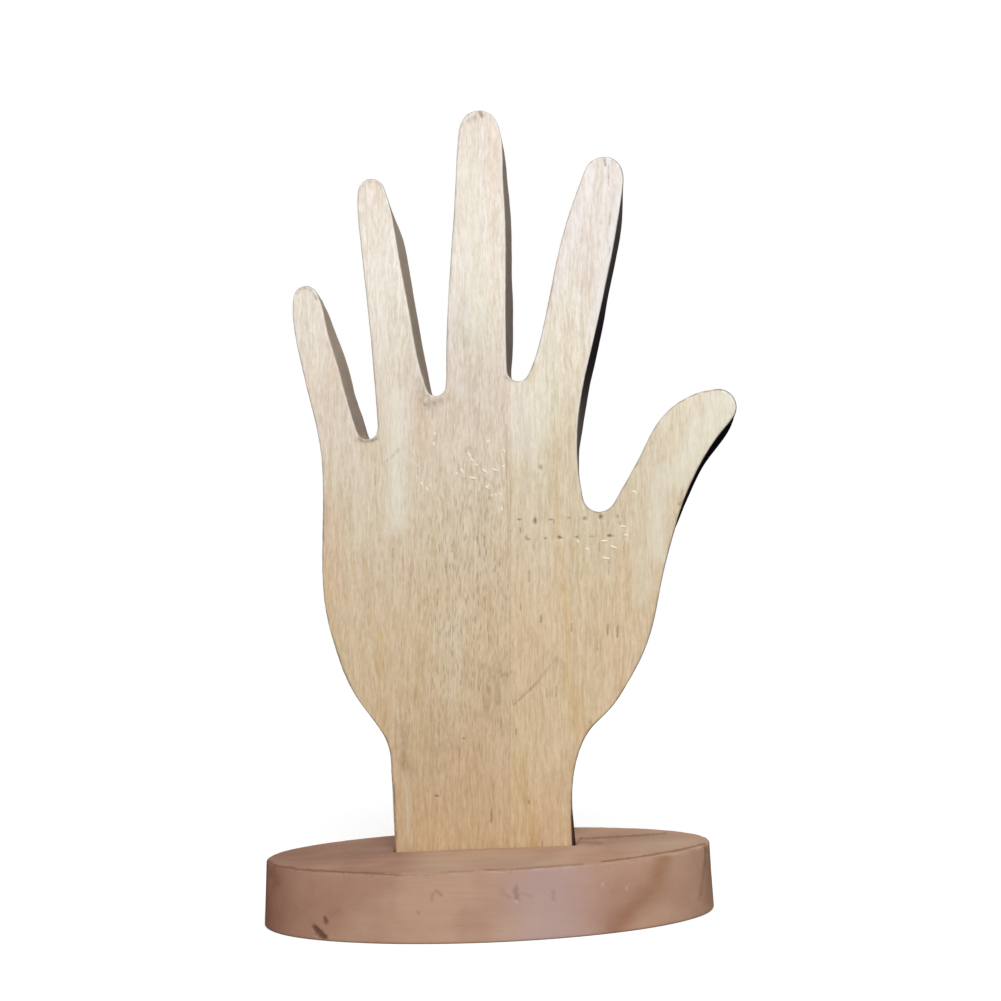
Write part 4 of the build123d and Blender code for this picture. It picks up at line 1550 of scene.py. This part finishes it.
def hand_material(name, tones_and_light, fleck_share, shift, grain, saw, lean):
    """Raw sanded pale wood: tones that warm towards the wrist and pale towards the fingertips, partly as
    painted light, grain, flecks and painted marks.
    """
    material, make, shader, place = new_material(name)
    layers = hand_layers(make, grain, place, fleck_share, shift, lean)
    fine = layers["fine"]
    coarse = layers["coarse"]
    height = make.number("ADD", make.number("DIVIDE", make.parts(place)[2], TONE_HEIGHT),
                         make.spread(coarse["Band"], *NOISE_RANGE, -TONE_SHIFT, TONE_SHIFT))
    colour = tinted(make, tone_ramp(make, height, tones_and_light), layers, HAND_GRAIN)
    colour = marked(make, colour, HAND_MARKS)
    flecks = make.number("MAXIMUM", make.times(fine["Fleck"], FINE_FLECK),
                         make.times(coarse["Fleck"], COARSE_FLECK))
    flecks = make.times(flecks, make.spread(make.painted("flecked"), 0.0, 1.0, SPARSE_FLECKS, 1.0))
    colour = marked(make, make.blend(flecks, colour, HAND_FLECK), HAND_DIRT_AND_SHADOW_TINT)
    lines = use_group(make, saw, Run=make.painted("run"), Vector=place)
    sawn = make.painted("sawn")
    colour = make.blend(make.spread(sawn, *SAWN_FADE), colour, sawn_colour(make, colour, height, lines))
    make.feed(shader.inputs["Base Color"], colour)
    make.feed(shader.inputs["Roughness"], make.spread(fine["Fibre"], *NOISE_RANGE, *HAND_ROUGHNESS))
    make.feed(shader.inputs["Specular IOR Level"], DULL)

    relief = make.times(make.number("ADD", fine["Fibre"], coarse["Fibre"]), FIBRE_SHARE)
    relief = make.number("SUBTRACT", relief, make.times(flecks, FLECK_RELIEF))
    relief = make.number("SUBTRACT", relief, make.times(make.times(sawn, lines["Line"]), SAW_RELIEF))
    relief = make.times(relief, make.spread(make.painted("scorch_and_shade"), *SMOOTH_FADE, 1.0, BURN_AND_SHADE_RELIEF))
    add_bump(make, shader, relief, *HAND_BUMP)
    return material


def base_material(grain):
    """Sanded pinkish-brown hardwood with faint grain along the base's length."""
    material, make, shader, place = new_material("base_wood_finish")
    fine = use_group(
        make, grain, Vector=place, Lean=math.pi / 2, Fibre_Width=0.5 * MM, Fibre_Length=10 * MM,
        Band_Width=4 * MM, Band_Length=50 * MM, Fleck_Width=0.3 * MM, Fleck_Length=1.5 * MM,
        Fleck_Share=BASE_FLECK_SHARE)
    cloud = make.noise(place, *BASE_CLOUD)
    colour = make.blend(make.spread(cloud, *CLOUD_RANGE), *BASE_TONES)
    colour = tinted(make, colour, {"fine": fine}, BASE_GRAIN)
    colour = marked(make, colour, BASE_MARKS)
    colour = make.blend(make.times(fine["Fleck"], BASE_FLECK_STRENGTH), colour, BASE_FLECK)
    make.feed(shader.inputs["Base Color"], marked(make, colour, BASE_DIRT_AND_SHADOW_TINT))
    make.feed(shader.inputs["Roughness"], make.spread(fine["Fibre"], *NOISE_RANGE, *BASE_ROUGHNESS))
    make.feed(shader.inputs["Specular IOR Level"], DULL)
    height = make.number("SUBTRACT", fine["Fibre"], make.times(fine["Fleck"], BASE_FLECK_RELIEF))
    add_bump(make, shader, height, *BASE_BUMP)
    return material


def screw_material():
    """Zinc-plated steel with turning marks and dull patches."""
    material, make, shader, place = new_material("screw_zinc_finish")
    cloud = make.noise(place, *SCREW_CLOUD)
    turning = make.noise(make.vector("MULTIPLY", place, TURNING_STRETCH), *SCREW_TURNING)
    make.feed(shader.inputs["Base Color"], make.blend(make.spread(cloud, *CLOUD_RANGE), *SCREW_TONES))
    make.feed(shader.inputs["Metallic"], 1.0)
    make.feed(shader.inputs["Roughness"], make.spread(cloud, *SCREW_DULL_RANGE, *SCREW_ROUGHNESS))
    add_bump(make, shader, turning, *SCREW_BUMP)
    return material


def torn_fibre_material():
    """The pale, uneven colour of fibre freshly torn out of the board."""
    material, make, shader, place = new_material("torn_fibre_finish")
    tint = make.noise(place, *TORN_CLOUD)
    make.feed(shader.inputs["Base Color"], make.blend(tint, *TORN_TONES))
    make.feed(shader.inputs["Roughness"], TORN_ROUGHNESS)
    return material


# Curls of torn fibre, placed by a Geometry Nodes tree

# A curl's points, how high its middle rises and how deep its ends sink, and its thickness
CURL_STEP = 0.25 * MM
CURL_RISE = 0.08 * MM
CURL_SINK = 0.20 * MM
CURL_THICKNESS = 0.30 * MM
CURL_THIN_END = 0.45
CURL_SIDES = 8


def curl_tree(material):
    """Turns each chain of edges into a round strand that tapers towards its ends."""
    tree = bpy.data.node_groups.new("fibre curls", "GeometryNodeTree")
    tree.interface.new_socket("Geometry", in_out="INPUT", socket_type="NodeSocketGeometry")
    thickness = tree.interface.new_socket("Thickness", in_out="INPUT", socket_type="NodeSocketFloat")
    tree.interface.new_socket("Geometry", in_out="OUTPUT", socket_type="NodeSocketGeometry")
    make = Wiring(tree)
    start = tree.nodes.new("NodeGroupInput")
    end = tree.nodes.new("NodeGroupOutput")

    strands = make.node("GeometryNodeMeshToCurve")
    make.feed(strands.inputs["Mesh"], start.outputs["Geometry"])
    along = make.node("GeometryNodeSplineParameter")
    taper = make.number("SINE", make.times(along.outputs["Factor"], math.pi))
    profile = make.node("GeometryNodeCurvePrimitiveCircle")
    make.feed(profile.inputs["Resolution"], CURL_SIDES)
    make.feed(profile.inputs["Radius"], 1.0)
    tube = make.node("GeometryNodeCurveToMesh")
    make.feed(tube.inputs["Curve"], strands.outputs["Curve"])
    make.feed(tube.inputs["Profile Curve"], profile.outputs["Curve"])
    width = make.number("MAXIMUM", taper, CURL_THIN_END)
    make.feed(tube.inputs["Scale"], make.times(width, start.outputs["Thickness"]))
    make.feed(tube.inputs["Fill Caps"], True)
    whole = make.node("GeometryNodeRealizeInstances")
    make.feed(whole.inputs[0], tube.outputs["Mesh"])
    dressed = make.node("GeometryNodeSetMaterial")
    make.feed(dressed.inputs["Material"], material)
    make.feed(dressed.inputs["Geometry"], whole.outputs[0])
    make.feed(end.inputs[0], dressed.outputs[0])
    return tree, thickness.identifier


def curl_paths(settings):
    """The points and edges of every curl's path, over the relief of the board's face."""
    spots = []
    edges = []
    for line in CURLS:
        ends = np.array([on_face(settings.camera, pixel) for pixel in line])
        path = np.concatenate([even_run(ends, CURL_STEP), ends[-1:]])
        ground = carve_face(settings.camera, settings.board, path[:, 0], path[:, 1])[0]
        lift = CURL_RISE * np.sin(np.linspace(0, math.pi, len(path))) - CURL_SINK
        first = len(spots)
        spots += standing(path, ground - lift).tolist()
        edges += [(number, number + 1) for number in range(first, len(spots) - 1)]
    return spots, edges


def settled_copy(name, maker):
    """The evaluated result of an object's modifiers as a plain mesh object; the maker is removed."""
    bpy.context.view_layer.update()
    graph = bpy.context.evaluated_depsgraph_get()
    mesh = bpy.data.meshes.new_from_object(maker.evaluated_get(graph))
    maker.modifiers.clear()
    bpy.data.objects.remove(maker)
    mesh.name = name
    piece = bpy.data.objects.new(name, mesh)
    bpy.context.scene.collection.objects.link(piece)
    return piece


# Stage: floor, light and camera

# The floor's paper: its own grey and the light it adds where the camera sees it, and its grey for all
# other rays; further out than this from the hand it turns plain white
PAPER_GREY = (0.80, 0.80, 0.80)
PAPER_LIFT = 0.50
PAPER_GREY_UNSEEN = (0.30, 0.30, 0.30)
PAPER_FADE = (0.25, 0.9)
# Each lamp: name, its level among the settings, degrees round from the front and up, distance, size
LAMPS = [
    ("key_lamp", "key_level", 12, 32, 0.95, 0.65),
    ("back_lamp", "back_level", 176, 10, 1.05, 0.7),
]
LAMP_TARGET = Vector((0, 0, 0.07))
SENSOR_WIDTH = 36.0
NEAREST_SEEN = 0.01
FURTHEST_SEEN = 20.0


def seen_directly(make):
    """1 for rays from the camera, and for those that a shiny or clear surface sends on."""
    path = make.node("ShaderNodeLightPath")
    first = make.number("MAXIMUM", path.outputs["Is Camera Ray"], path.outputs["Is Glossy Ray"])
    return make.number("MAXIMUM", first, path.outputs["Is Transmission Ray"])


def floor_material():
    """Pale paper that takes a soft shadow near the hand and is plain white further out."""
    material = bpy.data.materials.new("floor_paper")
    material.use_nodes = True
    tree = material.node_tree
    tree.nodes.remove(tree.nodes["Principled BSDF"])
    make = Wiring(tree)
    seen = seen_directly(make)
    span = make.node("ShaderNodeVectorMath", operation="LENGTH")
    make.feed(span.inputs[0], make.node("ShaderNodeTexCoord").outputs["Object"])
    far = make.spread(span.outputs["Value"], *PAPER_FADE)
    paper = make.node("ShaderNodeBsdfDiffuse")
    make.feed(paper.inputs["Color"], make.blend(seen, PAPER_GREY_UNSEEN, PAPER_GREY))
    lift = make.node("ShaderNodeEmission")
    make.feed(lift.inputs["Strength"], make.times(seen, PAPER_LIFT))
    near_paper = make.node("ShaderNodeAddShader")
    make.feed(near_paper.inputs[0], paper.outputs[0])
    make.feed(near_paper.inputs[1], lift.outputs[0])
    white = make.node("ShaderNodeEmission")
    either = make.node("ShaderNodeMixShader")
    make.feed(either.inputs[0], make.times(seen, far))
    make.feed(either.inputs[1], near_paper.outputs[0])
    make.feed(either.inputs[2], white.outputs[0])
    make.feed(tree.nodes["Material Output"].inputs["Surface"], either.outputs[0])
    return material


def lay_floor(stage):
    half = stage.floor_size / 2
    corners = [(-half, -half, 0), (half, -half, 0), (half, half, 0), (-half, half, 0)]
    mesh = bpy.data.meshes.new("floor")
    mesh.from_pydata(corners, [], [(0, 1, 2, 3)])
    mesh.materials.append(floor_material())
    floor = bpy.data.objects.new("stage_floor", mesh)
    bpy.context.scene.collection.objects.link(floor)


def light_world(stage):
    """Even light from all round, in front of a white background."""
    world = bpy.data.worlds.new("studio")
    bpy.context.scene.world = world
    world.use_nodes = True
    make = Wiring(world.node_tree)
    background = world.node_tree.nodes["Background"]
    make.feed(background.inputs["Color"], (1.0, 1.0, 1.0))
    level = make.spread(seen_directly(make), 0.0, 1.0, stage.fill_level, 1.0)
    make.feed(background.inputs["Strength"], level)


def hang_lamps(stage):
    """Disk lamps aimed at the hand, each as strong as gives its level on an upright face."""
    for name, level, azimuth, elevation, distance, size in LAMPS:
        azimuth = math.radians(azimuth)
        elevation = math.radians(elevation)
        way = Vector((math.sin(azimuth) * math.cos(elevation), -math.cos(azimuth) * math.cos(elevation),
                      math.sin(elevation)))
        lamp = bpy.data.lights.new(name, "AREA")
        lamp.shape = "DISK"
        lamp.size = size
        lamp.energy = getattr(stage, level) * math.pi * math.pi * distance ** 2 / abs(way.y)
        holder = bpy.data.objects.new(name, lamp)
        aim = (-way).to_track_quat("-Z", "Y").to_matrix().to_4x4()
        holder.matrix_world = Matrix.Translation(LAMP_TARGET + way * distance) @ aim
        bpy.context.scene.collection.objects.link(holder)


def stand_camera(view):
    """The camera where the photograph was taken, with its focal length."""
    right, down, forward = camera_axes(view)
    camera = bpy.data.cameras.new("photo_camera")
    camera.sensor_fit = "HORIZONTAL"
    camera.sensor_width = SENSOR_WIDTH
    camera.lens = view.focal_pixels * SENSOR_WIDTH / view.frame_pixels
    camera.clip_start = NEAREST_SEEN
    camera.clip_end = FURTHEST_SEEN
    holder = bpy.data.objects.new("photo_camera", camera)
    axes = Matrix((right, -down, -forward)).transposed().to_4x4()
    holder.matrix_world = Matrix.Translation(camera_eye(view)) @ axes
    bpy.context.scene.collection.objects.link(holder)
    bpy.context.scene.camera = holder


# The add-on's steps

def finish_piece(piece, node=None):
    """Rides the hand's one body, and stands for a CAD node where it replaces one."""
    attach(piece, BODY)
    if node:
        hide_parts(node)


class DISPLAY_HAND_OT_staves(bpy.types.Operator):
    """Build the two staves that the hand is sawn from"""
    bl_idname = "display_hand.staves"
    bl_label = "Hand staves"

    def execute(self, context):
        settings = context.scene.display_hand
        grain = group_named("wood grain", grain_group)
        saw = group_named("saw marks", saw_group)
        materials = [hand_material(*STAVE_FINISHES[node], grain, saw, settings.board.lean) for node in STAVES]
        for (node, slot), material in zip(STAVES.items(), materials):
            finish_piece(stave_piece(node, settings, material), node)
        return {"FINISHED"}


class DISPLAY_HAND_OT_base(bpy.types.Operator):
    """Build the oval base with its mortise and worn rim"""
    bl_idname = "display_hand.base"
    bl_label = "Oval base"

    def execute(self, context):
        settings = context.scene.display_hand
        grain = group_named("wood grain", grain_group)
        finish_piece(base_piece(settings, base_material(grain)), "oval_base")
        return {"FINISHED"}


class DISPLAY_HAND_OT_screws(bpy.types.Operator):
    """Give the two screws under the base their zinc finish"""
    bl_idname = "display_hand.screws"
    bl_label = "Base screws"

    def execute(self, context):
        finish = screw_material()
        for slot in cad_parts["base_screws"].material_slots:
            slot.material = finish
        return {"FINISHED"}


class DISPLAY_HAND_OT_curls(bpy.types.Operator):
    """Set the small curls of torn fibre on the hand's face"""
    bl_idname = "display_hand.curls"
    bl_label = "Fibre curls"

    def execute(self, context):
        tree, thickness = curl_tree(torn_fibre_material())
        spots, edges = curl_paths(context.scene.display_hand)
        mesh = bpy.data.meshes.new("curl_paths")
        mesh.from_pydata(spots, edges, [])
        maker = bpy.data.objects.new("curl_maker", mesh)
        context.scene.collection.objects.link(maker)
        modifier = maker.modifiers.new("curls", "NODES")
        modifier.node_group = tree
        modifier[thickness] = CURL_THICKNESS
        piece = settled_copy("hand_fibre_curls", maker)
        piece.data.shade_smooth()
        finish_piece(piece)
        return {"FINISHED"}


class DISPLAY_HAND_OT_stage(bpy.types.Operator):
    """Lay the pale floor, light the hand and stand the camera where the photograph was taken"""
    bl_idname = "display_hand.stage"
    bl_label = "Stage and camera"

    def execute(self, context):
        settings = context.scene.display_hand
        lay_floor(settings.stage)
        light_world(settings.stage)
        hang_lamps(settings.stage)
        stand_camera(settings.camera)
        context.scene.view_settings.view_transform = "Standard"
        return {"FINISHED"}


OPERATORS = (DISPLAY_HAND_OT_staves, DISPLAY_HAND_OT_base, DISPLAY_HAND_OT_screws, DISPLAY_HAND_OT_curls,
             DISPLAY_HAND_OT_stage)


class DisplayHandSettings(bpy.types.PropertyGroup):
    """All settings of the display hand."""
    camera: PointerProperty(name="Camera", description="The photograph's camera", type=CameraSettings)
    board: PointerProperty(name="Board", description="The hand's board", type=BoardSettings)
    base: PointerProperty(name="Base", description="The oval base", type=BaseSettings)
    stage: PointerProperty(name="Stage", description="Light and floor", type=StageSettings)


class DISPLAY_HAND_PT_panel(bpy.types.Panel):
    """Lists the steps that build the display hand"""
    bl_idname = "DISPLAY_HAND_PT_panel"
    bl_label = "Display Hand"
    bl_space_type = "VIEW_3D"
    bl_region_type = "UI"
    bl_category = "Display Hand"

    def draw(self, context):
        for operator in OPERATORS:
            self.layout.operator(operator.bl_idname)


CLASSES = (CameraSettings, BoardSettings, BaseSettings, StageSettings, DisplayHandSettings, *OPERATORS,
           DISPLAY_HAND_PT_panel)


def register():
    for kind in CLASSES:
        bpy.utils.register_class(kind)
    bpy.types.Scene.display_hand = PointerProperty(type=DisplayHandSettings)


def unregister():
    del bpy.types.Scene.display_hand
    for kind in reversed(CLASSES):
        bpy.utils.unregister_class(kind)


def main():
    register()
    bpy.ops.display_hand.staves()
    bpy.ops.display_hand.base()
    bpy.ops.display_hand.screws()
    bpy.ops.display_hand.curls()
    bpy.ops.display_hand.stage()


if __name__ == "__main__":
    main()
